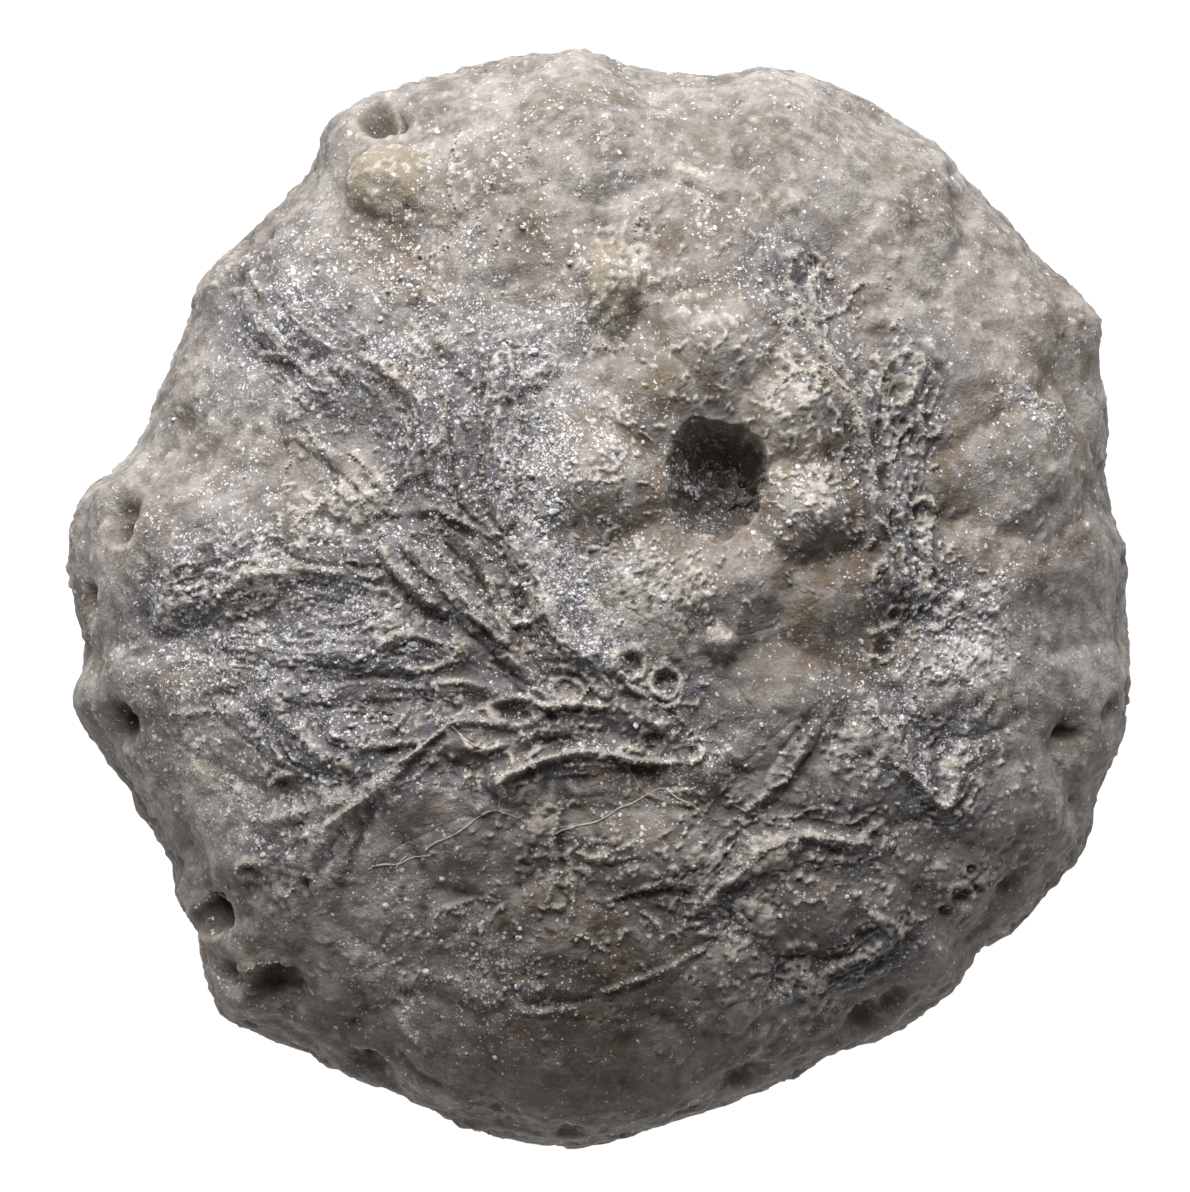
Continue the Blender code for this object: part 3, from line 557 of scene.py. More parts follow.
# Walls of worn tubes, ledges and the raised edges of plates
WALLS = each(
    Wall,
    # Over the upper left
    (0.13, 0.22, ((255, 350), (264, 357), (290, 360), (305, 370), (332, 389))),
    (0.13, 0.25, ((327, 366), (331, 378), (333, 390))),
    (0.2, 0.25, ((372, 364), (388, 375), (402, 386), (417, 398))),
    (0.09, 0.3, ((452, 398), (450, 425), (451, 448), (454, 472))),
    (0.1, 0.18, ((312, 428), (318, 441), (324, 452))), (0.09, 0.22, ((297, 448), (296, 460), (293, 476))),
    (0.17, 0.25, ((348, 452), (362, 462), (375, 475), (387, 489), (398, 503))),
    (0.15, 0.28, ((398, 516), (420, 511), (441, 511), (457, 520), (478, 530))),
    (0.12, 0.22, ((354, 568), (368, 577), (384, 578), (391, 570))),
    (0.12, 0.2, ((381, 272), (386, 285), (393, 298))),
    (0.13, 0.3, ((417, 252), (423, 258), (436, 259), (447, 256), (452, 245))),
    (0.12, 0.22, ((398, 368), (405, 378), (417, 388))),
    (0.14, 0.22, ((490, 400), (485, 425), (483, 452), (487, 480), (492, 508))),
    (0.12, 0.2, ((519, 408), (520, 440), (518, 472), (514, 505))),
    (0.13, 0.25, ((497, 406), (508, 401), (519, 406))),
    (0.12, 0.2, ((590, 354), (603, 351), (614, 355), (622, 351))),
    # Across the left
    (0.2, 0.3, ((236, 588), (250, 581), (262, 575), (276, 574), (291, 577))),
    (0.2, 0.28, ((292, 562), (310, 566), (330, 571), (350, 574))),
    (0.14, 0.25, ((293, 545), (287, 533), (292, 520))),
    (0.14, 0.28, ((300, 545), (303, 530), (312, 520), (324, 510), (329, 502))),
    (0.15, 0.2, ((362, 530), (360, 515), (366, 503), (373, 508), (371, 522))),
    (0.18, 0.28, ((342, 490), (352, 500), (366, 502), (382, 500), (395, 508))),
    (0.26, 0.3, ((285, 685), (289, 702), (300, 720), (315, 735), (331, 747))),
    (0.13, 0.18, ((176, 712), (193, 708), (212, 708), (228, 711))),
    (0.12, 0.2, ((205, 742), (206, 752), (204, 762))),
    # In the middle
    (0.2, 0.42, ((390, 558), (405, 575), (425, 593), (441, 606), (455, 613))),
    (0.14, 0.3, ((441, 552), (455, 575), (467, 597), (478, 613))),
    (0.13, 0.36, ((488, 568), (492, 588), (498, 606), (506, 626), (512, 641))),
    (0.14, 0.34, ((460, 607), (475, 613), (488, 622), (499, 634), (506, 644))),
    (0.14, 0.34, ((536, 594), (543, 607), (538, 617), (526, 622), (514, 622))),
    (0.13, 0.34, ((383, 648), (398, 637), (417, 634), (435, 637), (449, 643))),
    (0.14, 0.36, ((462, 647), (456, 657), (442, 664), (427, 668), (413, 667))),
    (0.12, 0.36, ((442, 680), (443, 692), (443, 706), (442, 721))),
    (0.15, 0.42, ((443, 680), (463, 679), (480, 682), (495, 688), (507, 695))),
    (0.15, 0.38, ((449, 717), (464, 712), (480, 708), (493, 704), (500, 694))),
    (0.14, 0.32, ((455, 720), (476, 717), (495, 719), (513, 718))),
    (0.15, 0.4, ((515, 692), (530, 696), (546, 703), (565, 701), (585, 701), (606, 703))),
    (0.13, 0.34, ((580, 699), (585, 690), (590, 683))),
    (0.12, 0.34, ((560, 664), (574, 668), (588, 677), (597, 690))),
    (0.13, 0.34, ((455, 722), (437, 735), (425, 747), (405, 762), (385, 781))),
    (0.16, 0.26, ((362, 746), (385, 743), (408, 738), (432, 735))),
    (0.15, 0.42, ((500, 776), (514, 766), (530, 760), (550, 753), (572, 747), (598, 746))),
    (0.16, 0.34, ((598, 746), (615, 750), (635, 757), (656, 758), (690, 757), (704, 746))),
    (0.13, 0.32, ((503, 777), (508, 787), (515, 796))), (0.12, 0.3, ((484, 744), (497, 742), (508, 739))),
    (0.12, 0.3, ((413, 705), (409, 716), (400, 728))), (0.15, 0.25, ((640, 748), (622, 741), (607, 735))),
    # Down the right
    (0.2, 0.3, ((790, 258), (788, 270), (784, 282), (782, 292))),
    (0.14, 0.32, ((782, 300), (793, 312), (800, 330), (808, 342), (815, 354), (826, 366), (838, 382),
        (847, 394), (855, 408))),
    (0.22, 0.34, ((807, 378), (815, 375), (823, 383), (833, 394), (842, 405), (850, 419))),
    (0.14, 0.3, ((850, 419), (855, 436), (860, 450), (866, 463))),
    (0.14, 0.28, ((778, 340), (784, 328), (788, 316))),
    (0.13, 0.24, ((768, 402), (774, 388), (788, 380), (802, 382), (811, 392), (806, 400))),
    (0.18, 0.34, ((878, 372), (889, 361), (904, 359), (912, 369), (910, 384), (904, 398))),
    (0.14, 0.3, ((904, 398), (896, 409), (884, 409), (877, 400), (875, 386), (878, 372))),
    (0.13, 0.3, ((879, 417), (883, 431), (891, 436), (900, 430), (904, 420))),
    (0.15, 0.34, ((898, 433), (890, 442), (886, 455), (880, 464), (866, 464))),
    (0.12, 0.28, ((862, 466), (864, 480), (866, 496))),
    (0.14, 0.3, ((881, 465), (883, 480), (881, 496), (882, 510))),
    (0.14, 0.3, ((914, 410), (912, 425), (917, 437), (926, 438), (933, 429))),
    (0.13, 0.28, ((905, 506), (914, 501), (924, 507), (926, 519), (919, 531))),
    (0.2, 0.34, ((904, 522), (908, 532), (918, 533))), (0.12, 0.26, ((921, 540), (921, 556), (922, 577))),
    (0.16, 0.24, ((869, 522), (876, 530), (882, 540))), (0.16, 0.24, ((862, 540), (860, 552))),
    (0.14, 0.22, ((863, 582), (865, 570), (873, 562))), (0.16, 0.3, ((863, 632), (878, 630), (896, 621))),
    (0.13, 0.26, ((867, 655), (880, 661), (890, 653))),
    (0.12, 0.22, ((1000, 400), (1020, 402), (1040, 412), (1055, 424))),
    (0.12, 0.18, ((845, 297), (860, 288), (878, 288), (892, 296), (898, 308))),
    (0.12, 0.18, ((814, 313), (826, 319), (840, 314), (848, 300))),
    (0.12, 0.16, ((900, 322), (890, 328), (884, 334))),
    # At the lower right
    (0.18, 0.4, ((858, 698), (868, 711), (880, 728), (888, 743), (896, 757))),
    (0.13, 0.36, ((895, 760), (912, 778), (926, 793), (938, 799), (944, 785), (948, 768))),
    (0.13, 0.34, ((948, 768), (946, 756), (955, 745), (963, 738))),
    (0.16, 0.38, ((745, 858), (752, 845), (765, 838), (785, 831), (805, 828), (828, 833))),
    (0.15, 0.34, ((828, 833), (847, 836), (862, 825), (872, 818))),
    (0.12, 0.28, ((868, 858), (875, 873), (862, 889), (857, 902))),
    (0.16, 0.34, ((858, 903), (875, 909), (888, 917), (896, 931))),
    (0.12, 0.28, ((866, 944), (850, 948), (832, 955), (818, 963))),
    (0.14, 0.34, ((800, 736), (794, 752), (782, 775), (768, 785), (742, 808))),
    (0.14, 0.32, ((700, 896), (715, 880), (731, 869), (747, 854), (760, 843))),
    (0.13, 0.28, ((733, 905), (745, 918), (760, 925), (772, 920))),
    (0.12, 0.26, ((905, 690), (915, 702), (918, 716))), (0.12, 0.26, ((985, 690), (978, 705), (965, 715))),
    # At the lower left
    (0.2, 0.44, ((283, 816), (296, 811), (312, 807), (330, 800), (350, 795), (368, 796), (382, 788),
        (397, 774), (412, 762))),
    (0.16, 0.34, ((333, 840), (339, 821), (354, 808), (372, 796))),
    (0.14, 0.34, ((250, 866), (254, 857), (263, 853), (272, 858))),
    (0.13, 0.28, ((279, 782), (288, 770), (297, 767), (307, 770))),
    (0.13, 0.28, ((250, 862), (262, 873), (277, 875))),
    (0.14, 0.26, ((295, 893), (301, 880), (312, 868), (322, 882))),
    (0.14, 0.28, ((400, 1008), (410, 1019), (423, 1029))),
    (0.13, 0.26, ((248, 968), (262, 962), (279, 963), (292, 972))),
    (0.13, 0.26, ((200, 905), (212, 898), (226, 902))),
    # Across the bottom
    (0.1, 0.21, ((563, 798), (559, 815), (554, 832), (553, 852), (552, 875), (549, 898))),
    (0.1, 0.19, ((569, 848), (571, 868), (574, 890), (572, 912))),
    (0.11, 0.17, ((543, 902), (552, 900), (562, 901))),
    (0.13, 0.19, ((575, 846), (590, 851), (605, 848), (620, 840), (634, 834))),
    (0.1, 0.19, ((600, 896), (616, 891), (630, 884), (645, 877), (662, 872), (680, 874), (692, 879))),
    (0.12, 0.19, ((700, 878), (696, 892), (689, 907))),
    (0.1, 0.16, ((440, 926), (437, 915), (443, 905), (460, 899), (480, 893), (501, 895))),
    (0.1, 0.16, ((492, 914), (499, 904), (506, 900))),
    (0.1, 0.17, ((575, 935), (583, 925), (591, 934), (606, 945))),
    (0.1, 0.16, ((618, 936), (622, 925), (630, 921))),
    (0.12, 0.17, ((600, 986), (620, 976), (636, 970), (660, 960), (682, 950), (702, 940), (716, 930))),
    (0.13, 0.16, ((520, 1000), (540, 1003), (560, 1000), (579, 1000))),
    (0.1, 0.14, ((640, 905), (655, 915), (660, 935))),
    # Over the top
    (0.09, 0.16, ((463, 138), (457, 155), (453, 172), (452, 198), (457, 212), (455, 232), (450, 250))),
    (0.09, 0.16, ((503, 178), (495, 190), (488, 206), (483, 222), (479, 238))),
    (0.09, 0.15, ((515, 219), (507, 230), (501, 243), (499, 254))),
    (0.08, 0.12, ((532, 158), (528, 167), (525, 177))), (0.1, 0.15, ((640, 221), (635, 234), (633, 247))),
    (0.1, 0.12, ((598, 150), (602, 160), (600, 172))),
    (0.13, 0.19, ((614, 650), (622, 675), (640, 692), (660, 702), (675, 700), (682, 682))),
)

# Crevices beside them
GROOVES = each(
    Groove,
    # Over the upper left
    (0.2, 0.24, ((262, 364), (280, 367), (298, 371), (312, 382))),
    (0.26, 0.42, ((340, 350), (360, 366), (380, 379), (396, 393), (410, 408), (422, 430))),
    (0.14, 0.25, ((422, 430), (416, 446), (410, 458))),
    (0.16, 0.3, ((362, 474), (376, 487), (388, 501), (396, 512))),
    (0.13, 0.28, ((423, 455), (430, 476), (437, 500))), (0.13, 0.28, ((448, 458), (454, 475), (462, 500))),
    (0.13, 0.22, ((324, 452), (332, 470), (343, 491))),
    (0.15, 0.22, ((250, 430), (265, 435), (280, 443), (296, 451))),
    (0.2, 0.38, ((408, 522), (430, 520), (450, 521), (468, 531), (486, 541), (505, 556))),
    (0.17, 0.3, ((484, 378), (486, 392), (484, 406))), (0.22, 0.42, ((540, 388), (536, 402), (528, 418))),
    (0.2, 0.3, ((543, 384), (556, 379), (572, 375))), (0.13, 0.26, ((318, 322), (327, 337), (337, 350))),
    (0.13, 0.24, ((298, 322), (306, 336), (314, 348))), (0.13, 0.22, ((264, 298), (270, 315), (276, 332))),
    (0.12, 0.2, ((250, 318), (254, 328), (259, 338))),
    (0.22, 0.45, ((365, 228), (380, 244), (397, 251), (413, 262))),
    (0.18, 0.35, ((395, 288), (412, 287), (434, 294))), (0.15, 0.26, ((447, 318), (447, 330), (444, 342))),
    (0.12, 0.22, ((350, 352), (362, 356), (372, 350))),
    # Across the left
    (0.2, 0.36, ((300, 584), (318, 585), (338, 583), (354, 580))),
    (0.17, 0.32, ((264, 586), (253, 600), (243, 616), (226, 636))),
    (0.11, 0.32, ((293, 526), (294, 534), (291, 541))), (0.13, 0.26, ((306, 529), (320, 528), (330, 530))),
    (0.13, 0.24, ((320, 547), (340, 546), (352, 551))), (0.13, 0.22, ((204, 656), (211, 649), (220, 645))),
    (0.2, 0.24, ((206, 693), (226, 692), (246, 687), (262, 684))),
    (0.2, 0.34, ((360, 548), (375, 552), (390, 562))),
    (0.16, 0.3, ((356, 542), (372, 528), (388, 520), (408, 518))),
    (0.18, 0.26, ((294, 712), (306, 730), (320, 744))), (0.16, 0.24, ((240, 475), (248, 470), (256, 468))),
    # In the middle
    (0.24, 0.5, ((396, 578), (410, 592), (425, 604), (440, 616), (455, 628))),
    (0.26, 0.4, ((415, 562), (428, 578), (442, 592))), (0.18, 0.38, ((472, 560), (480, 580), (486, 600))),
    (0.24, 0.42, ((505, 556), (512, 570), (524, 580))), (0.2, 0.42, ((518, 626), (532, 633), (548, 645))),
    (0.17, 0.36, ((405, 643), (425, 643), (440, 648))),
    (0.22, 0.45, ((432, 668), (450, 672), (470, 671), (486, 676))),
    (0.13, 0.34, ((460, 690), (470, 692), (478, 694))),
    (0.22, 0.45, ((455, 730), (440, 742), (425, 757), (405, 775))),
    (0.18, 0.42, ((546, 712), (556, 715), (568, 714))), (0.14, 0.34, ((548, 708), (575, 709), (600, 710))),
    (0.22, 0.42, ((532, 740), (548, 735), (564, 738))), (0.2, 0.32, ((484, 732), (504, 732), (524, 738))),
    (0.24, 0.45, ((385, 752), (405, 746), (428, 742))),
    (0.3, 0.48, ((603, 757), (622, 762), (644, 768), (668, 768))),
    (0.2, 0.4, ((512, 775), (530, 768), (550, 762), (575, 757))),
    (0.24, 0.48, ((618, 688), (632, 697), (648, 705), (665, 712), (684, 712))),
    (0.16, 0.34, ((380, 690), (400, 690), (420, 692), (438, 694))),
    (0.2, 0.34, ((560, 682), (572, 688), (582, 692))), (0.16, 0.3, ((360, 712), (382, 716), (402, 722))),
    (0.18, 0.32, ((444, 754), (470, 762), (492, 766))),
    # Down the right
    (0.15, 0.34, ((794, 336), (802, 350), (812, 364), (822, 373), (832, 384), (842, 397))),
    (0.2, 0.36, ((834, 412), (840, 426), (842, 440), (849, 455), (852, 475), (855, 498))),
    (0.16, 0.34, ((855, 498), (858, 516), (864, 534), (868, 550), (874, 562))),
    (0.16, 0.3, ((908, 396), (906, 412), (902, 426), (893, 442), (890, 462))),
    (0.12, 0.24, ((930, 440), (922, 452), (916, 466))), (0.14, 0.26, ((782, 296), (779, 306))),
    (0.14, 0.24, ((768, 310), (772, 330), (776, 342))), (0.12, 0.24, ((912, 545), (910, 560), (914, 575))),
    (0.16, 0.26, ((903, 600), (904, 616), (914, 628))), (0.12, 0.2, ((940, 522), (952, 518), (965, 512))),
    # At the lower right
    (0.2, 0.42, ((876, 706), (890, 722), (899, 742))), (0.2, 0.38, ((790, 842), (812, 840), (838, 848))),
    (0.2, 0.34, ((900, 765), (905, 785), (922, 803))), (0.2, 0.36, ((893, 925), (903, 935), (912, 938))),
    (0.16, 0.3, ((745, 820), (762, 806), (778, 796))), (0.24, 0.4, ((812, 700), (800, 722), (792, 742))),
    (0.2, 0.34, ((720, 760), (745, 768), (765, 765))), (0.2, 0.3, ((720, 888), (738, 880), (752, 868))),
    (0.26, 0.36, ((880, 985), (868, 1000), (850, 1015))),
    (0.22, 0.34, ((960, 940), (980, 925), (1000, 905))),
    (0.2, 0.3, ((1000, 690), (1010, 712), (1014, 735))),
    # At the lower left
    (0.26, 0.48, ((380, 800), (366, 830), (352, 860), (345, 890), (338, 930))),
    (0.18, 0.32, ((358, 972), (364, 992), (368, 1014))), (0.16, 0.3, ((302, 822), (315, 820), (328, 815))),
    (0.22, 0.34, ((262, 830), (280, 832), (294, 828))),
    (0.22, 0.34, ((400, 1040), (425, 1062), (452, 1078))),
    # Across the bottom
    (0.15, 0.32, ((566, 815), (562, 838), (562, 870), (560, 895))),
    (0.17, 0.32, ((535, 836), (531, 850), (525, 862))),
    (0.14, 0.3, ((612, 898), (640, 888), (664, 882), (690, 888))),
    (0.16, 0.28, ((600, 862), (630, 852), (650, 852))), (0.2, 0.26, ((600, 996), (630, 982), (664, 968))),
    # Over the top
    (0.18, 0.28, ((498, 201), (520, 201), (540, 194), (556, 181))),
    (0.13, 0.3, ((675, 181), (690, 193), (710, 203), (731, 209))),
    (0.14, 0.24, ((664, 215), (652, 228), (643, 241))), (0.16, 0.28, ((774, 221), (785, 223), (797, 219))),
    (0.16, 0.3, ((402, 206), (414, 210), (427, 215))), (0.2, 0.24, ((610, 350), (625, 340), (640, 312))),
    (0.12, 0.2, ((612, 668), (628, 690), (650, 706), (672, 708))),
)

# Thin raised veins that cross the plates at the bottom
VEINS = (
    ((430, 843), (441, 835), (456, 828), (471, 818), (484, 808), (496, 803), (508, 807), (526, 816)),
    ((556, 829), (575, 822), (592, 818), (606, 811), (618, 803), (632, 798), (648, 790), (662, 785),
        (676, 794), (690, 800), (701, 811)),
    ((376, 861), (388, 859), (400, 860), (413, 855), (430, 850), (441, 845)),
    ((400, 863), (404, 857), (410, 852)),
    ((690, 800), (702, 815), (708, 830)),
    ((640, 786), (632, 772), (622, 760)),
    ((500, 805), (503, 790), (500, 777)),
    ((455, 720), (470, 735), (486, 742)),
    ((730, 800), (745, 808), (760, 812)),
)

# Open cells, borings and pores
PITS = each(
    Pit,
    (869, 444, 8, 15, -8, 0.5, 0), (874, 483, 5, 13, 0, 0.5, 0), (888, 389, 9, 14, 15, 0.45, 0),
    (886, 426, 4, 4, 0, 0.35, 0), (897, 425, 5, 3, 0, 0.35, 0), (920, 424, 3, 7, 10, 0.4, 0),
    (909, 513, 4, 8, 5, 0.4, 0), (889, 614, 5, 6, 0, 0.4, 0.15), (812, 267, 5, 5, 0, 0.25, 0),
    (828, 285, 8, 7, 0, 0.25, 0), (876, 336, 13, 6, -10, 0.35, 0), (932, 375, 4, 6, 0, 0.3, 0),
    (890, 603, 7, 4, 0, 0.25, 0), (874, 575, 6, 6, 0, 0.25, 0), (932, 603, 5, 5, 0, 0.3, 0),
    (629, 662, 11, 11, 0, 0.65, 0.4), (664, 681, 10, 11, 0, 0.7, 0.3), (482, 697, 9, 8, 0, 0.45, 0),
    (516, 708, 15, 10, 0, 0.55, 0.15), (522, 602, 10, 13, -10, 0.55, 0.1), (488, 632, 12, 10, -35, 0.5, 0),
    (568, 686, 12, 7, -15, 0.55, 0.15), (589, 693, 6, 6, 0, 0.45, 0.1), (548, 737, 10, 6, 10, 0.5, 0),
    (566, 739, 9, 6, 0, 0.5, 0), (540, 640, 10, 6, -30, 0.45, 0), (652, 737, 9, 10, 0, 0.5, 0.12),
    (390, 710, 9, 12, 0, 0.4, 0), (380, 700, 8, 8, 0, 0.3, 0), (880, 648, 8, 10, 0, 0.6, 0.15),
    (967, 867, 5, 5, 0, 0.45, 0.15), (955, 890, 9, 8, 0, 0.55, 0.15), (974, 885, 5, 5, 0, 0.4, 0.1),
    (940, 905, 6, 6, 0, 0.4, 0.1), (262, 860, 8, 5, 0, 0.4, 0.1), (308, 877, 4, 4, 0, 0.35, 0),
    (303, 889, 4, 4, 0, 0.35, 0), (292, 778, 5, 4, 0, 0.35, 0), (268, 985, 22, 18, 20, 0.9, 0.15),
    (240, 975, 5, 12, 0, 0.6, 0), (215, 915, 17, 15, 0, 0.8, 0.15), (372, 1053, 9, 7, 30, 0.6, 0.1),
    (378, 124, 14, 16, 0, 1, 0.1), (402, 122, 5, 12, 0, 0.5, 0.1), (124, 532, 16, 11, 0, 1, 0.1),
    (124, 728, 8, 15, 0, 0.8, 0), (530, 512, 5, 6, 0, 0.4, 0), (581, 288, 8, 4, 30, 0.4, 0),
    (554, 303, 3, 4, 0, 0.3, 0), (411, 457, 4, 4, 0, 0.25, 0), (419, 430, 5, 4, 0, 0.3, 0),
    (412, 373, 6, 6, 0, 0.3, 0.05), (1065, 735, 13, 7, 0, 0.7, 0.1), (272, 714, 4, 4, 0, 0.3, 0),
    (527, 240, 11, 9, 0, 0.35, 0), (185, 668, 10, 7, 0, 0.25, 0), (160, 695, 5, 5, 0, 0.25, 0),
    (558, 742, 9, 6, 0, 0.4, 0), (515, 742, 5, 4, 0, 0.3, 0), (460, 672, 9, 4, 0, 0.4, 0),
    (560, 712, 8, 4, 0, 0.4, 0),
)

# The widest of the colony's tubes that are still whole
TUBES = each(
    Tube,
    (0.66, 0.36, ((505, 360), (503, 400), (503, 440), (504, 480), (508, 522))),
    (0.52, 0.28, ((428, 392), (437, 425), (441, 460), (446, 490), (456, 518))),
    (0.44, 0.23, ((470, 398), (468, 435), (469, 475), (478, 515))),
    (0.36, 0.22, ((306, 440), (330, 455), (358, 475), (382, 497), (400, 515))),
    (0.4, 0.22, ((300, 550), (330, 556), (360, 556), (392, 560), (420, 585))),
    (0.42, 0.27, ((410, 545), (438, 568), (462, 594), (490, 618), (516, 640))),
    (0.4, 0.27, ((452, 536), (480, 560), (500, 590), (516, 622))),
    (0.46, 0.3, ((512, 545), (530, 580), (552, 618), (580, 655), (606, 690))),
    (0.4, 0.27, ((466, 616), (498, 640), (524, 664), (547, 690))),
    (0.38, 0.23, ((503, 652), (525, 676), (548, 700))),
    (0.44, 0.19, ((318, 655), (350, 655), (385, 662), (415, 664))),
    (0.44, 0.19, ((300, 690), (340, 692), (380, 688), (430, 690))),
    (0.5, 0.22, ((225, 700), (250, 715), (268, 730), (290, 752))),
    (0.36, 0.22, ((780, 268), (790, 300), (806, 332), (826, 362), (842, 388))),
    (0.44, 0.27, ((868, 380), (862, 410), (858, 440), (870, 470))),
    (0.4, 0.24, ((850, 450), (866, 500), (872, 545), (888, 590))),
    (0.4, 0.23, ((890, 470), (892, 520), (900, 570), (910, 610))),
    (0.46, 0.27, ((810, 722), (790, 752), (768, 778))),
    (0.4, 0.18, ((250, 285), (256, 310), (268, 335), (290, 350))),
    (0.36, 0.16, ((285, 285), (305, 320), (335, 345), (365, 362))),
)

# Crumbs of mineral stuck on
SCABS = each(
    Scab,
    (Mask.PALE, 0.32, ((942, 596), (950, 588), (959, 590), (957, 603), (948, 607))),
    (Mask.PALE, 0.3, ((966, 584), (974, 580), (986, 588), (978, 594), (968, 598))),
    (Mask.PALE, 0.28, ((912, 588), (920, 580), (930, 584), (926, 594), (916, 596))),
    (Mask.PALE, 0.26, ((932, 612), (940, 606), (946, 614), (936, 622))),
    (Mask.PALE, 0.26, ((976, 606), (990, 602), (988, 614), (978, 616))),
    (Mask.PALE, 0.24, ((986, 497), (994, 495), (996, 502), (988, 504))),
    (Mask.PALE, 0.24, ((946, 526), (953, 522), (958, 528), (950, 534))),
    (Mask.OCHRE, 0.75, ((596, 250), (612, 246), (640, 298), (624, 324), (603, 342), (590, 326),
        (584, 272))),
    (Mask.OCHRE, 0.28, ((352, 216), (346, 185), (372, 160), (400, 150), (430, 163), (432, 196),
        (384, 222))),
    (Mask.PALE, 0.25, ((670, 178), (688, 166), (710, 186), (706, 198), (690, 192))),
    (Mask.PALE, 0.3, ((358, 496), (384, 490), (396, 505), (385, 520), (364, 516))),
    (Mask.PALE, 0.62, ((702, 630), (714, 620), (732, 632), (734, 654), (718, 664), (702, 650))),
    (Mask.PALE, 0.3, ((398, 1006), (410, 1012), (428, 1028), (424, 1034), (404, 1022))),
    (Mask.OCHRE, 0.3, ((200, 752), (214, 750), (224, 772), (212, 786), (202, 774))),
    (Mask.OCHRE, 0.22, ((430, 356), (444, 336), (462, 342), (450, 354))),
    (Mask.OCHRE, 0.25, ((262, 644), (276, 642), (280, 656), (266, 658))),
    (Mask.OCHRE, 0.25, ((454, 632), (462, 632), (472, 646), (466, 654))),
    (Mask.PALE, 0.3, ((836, 716), (850, 700), (872, 724), (868, 750), (846, 746))),
    (Mask.PALE, 0.35, ((734, 894), (748, 888), (776, 904), (770, 926), (750, 920))),
    (Mask.PALE, 0.25, ((744, 860), (770, 836), (786, 842), (772, 862), (752, 868))),
    (Mask.PALE, 0.28, ((353, 344), (361, 339), (367, 346), (361, 354), (354, 352))),
    (Mask.PALE, 0.22, ((776, 212), (792, 203), (800, 210), (786, 219))),
    (Mask.OCHRE, 0.22, ((418, 290), (430, 286), (436, 300), (424, 308))),
)

# Where pale mineral has crusted over the stone
CRUSTED = each(
    Spot,
    (612, 290, 1.3, 0.5), (388, 185, 1.7, 0.7), (645, 575, 1.7, 0.75), (620, 620, 1.4, 0.85),
    (662, 622, 1.3, 0.8), (690, 592, 1.1, 0.55), (655, 650, 1.1, 0.75), (605, 474, 1.2, 0.8),
    (612, 424, 0.9, 0.7), (798, 490, 1.4, 0.8), (786, 392, 1.6, 0.85), (895, 380, 1.1, 0.6),
    (914, 524, 0.9, 0.9), (912, 590, 1, 0.7), (850, 730, 1.2, 0.9), (872, 746, 0.9, 0.8),
    (762, 846, 1.1, 0.85), (755, 905, 1.3, 0.9), (938, 684, 1.4, 0.65), (960, 640, 1.4, 0.6),
    (985, 660, 1.1, 0.65), (1000, 716, 1, 0.45), (706, 850, 1, 0.75), (704, 868, 0.8, 0.8),
    (600, 846, 1, 0.55), (730, 935, 1, 0.6), (795, 990, 1.7, 0.6), (765, 1030, 1.4, 0.6),
    (553, 800, 0.8, 0.6), (545, 830, 0.9, 0.8), (556, 870, 0.9, 0.65), (210, 770, 1.1, 0.8),
    (200, 742, 0.9, 0.6), (330, 810, 1.1, 0.7), (350, 800, 0.9, 0.85), (332, 852, 0.9, 0.6),
    (300, 880, 1.4, 0.6), (268, 860, 0.8, 0.85), (400, 608, 1.1, 0.85), (392, 628, 0.9, 0.7),
    (376, 502, 1, 0.9), (348, 494, 0.8, 0.7), (318, 514, 0.9, 0.75), (262, 576, 1.2, 0.9),
    (215, 586, 1, 0.5), (190, 592, 1, 0.55), (432, 254, 0.9, 0.8), (502, 340, 1, 0.65),
    (425, 350, 0.9, 0.55), (510, 386, 0.9, 0.75), (536, 565, 1, 0.65), (522, 552, 0.7, 0.9),
    (536, 606, 1, 0.85), (690, 182, 1, 0.6), (786, 211, 0.9, 0.6), (636, 264, 1.1, 0.65),
    (604, 352, 0.8, 0.75), (962, 880, 1, 0.75), (922, 864, 0.8, 0.8), (1000, 866, 1, 0.7),
    (808, 974, 1, 0.7), (644, 735, 1.4, 0.6), (660, 690, 0.9, 0.6), (566, 700, 1.2, 0.45),
    (870, 830, 1.1, 0.55), (890, 926, 1, 0.7), (715, 345, 1.6, 0.35), (680, 365, 1.2, 0.4),
    (660, 880, 1.2, 0.5), (360, 950, 0.9, 0.6), (380, 985, 1, 0.55), (735, 985, 1, 0.6),
    (945, 770, 1.1, 0.6), (640, 270, 1.2, 0.55), (120, 660, 1.1, 0.5), (130, 752, 0.9, 0.7),
    (470, 160, 1.8, 0.3), (890, 260, 2, 0.25), (800, 320, 1.4, 0.45), (515, 750, 1.6, 0.4),
)

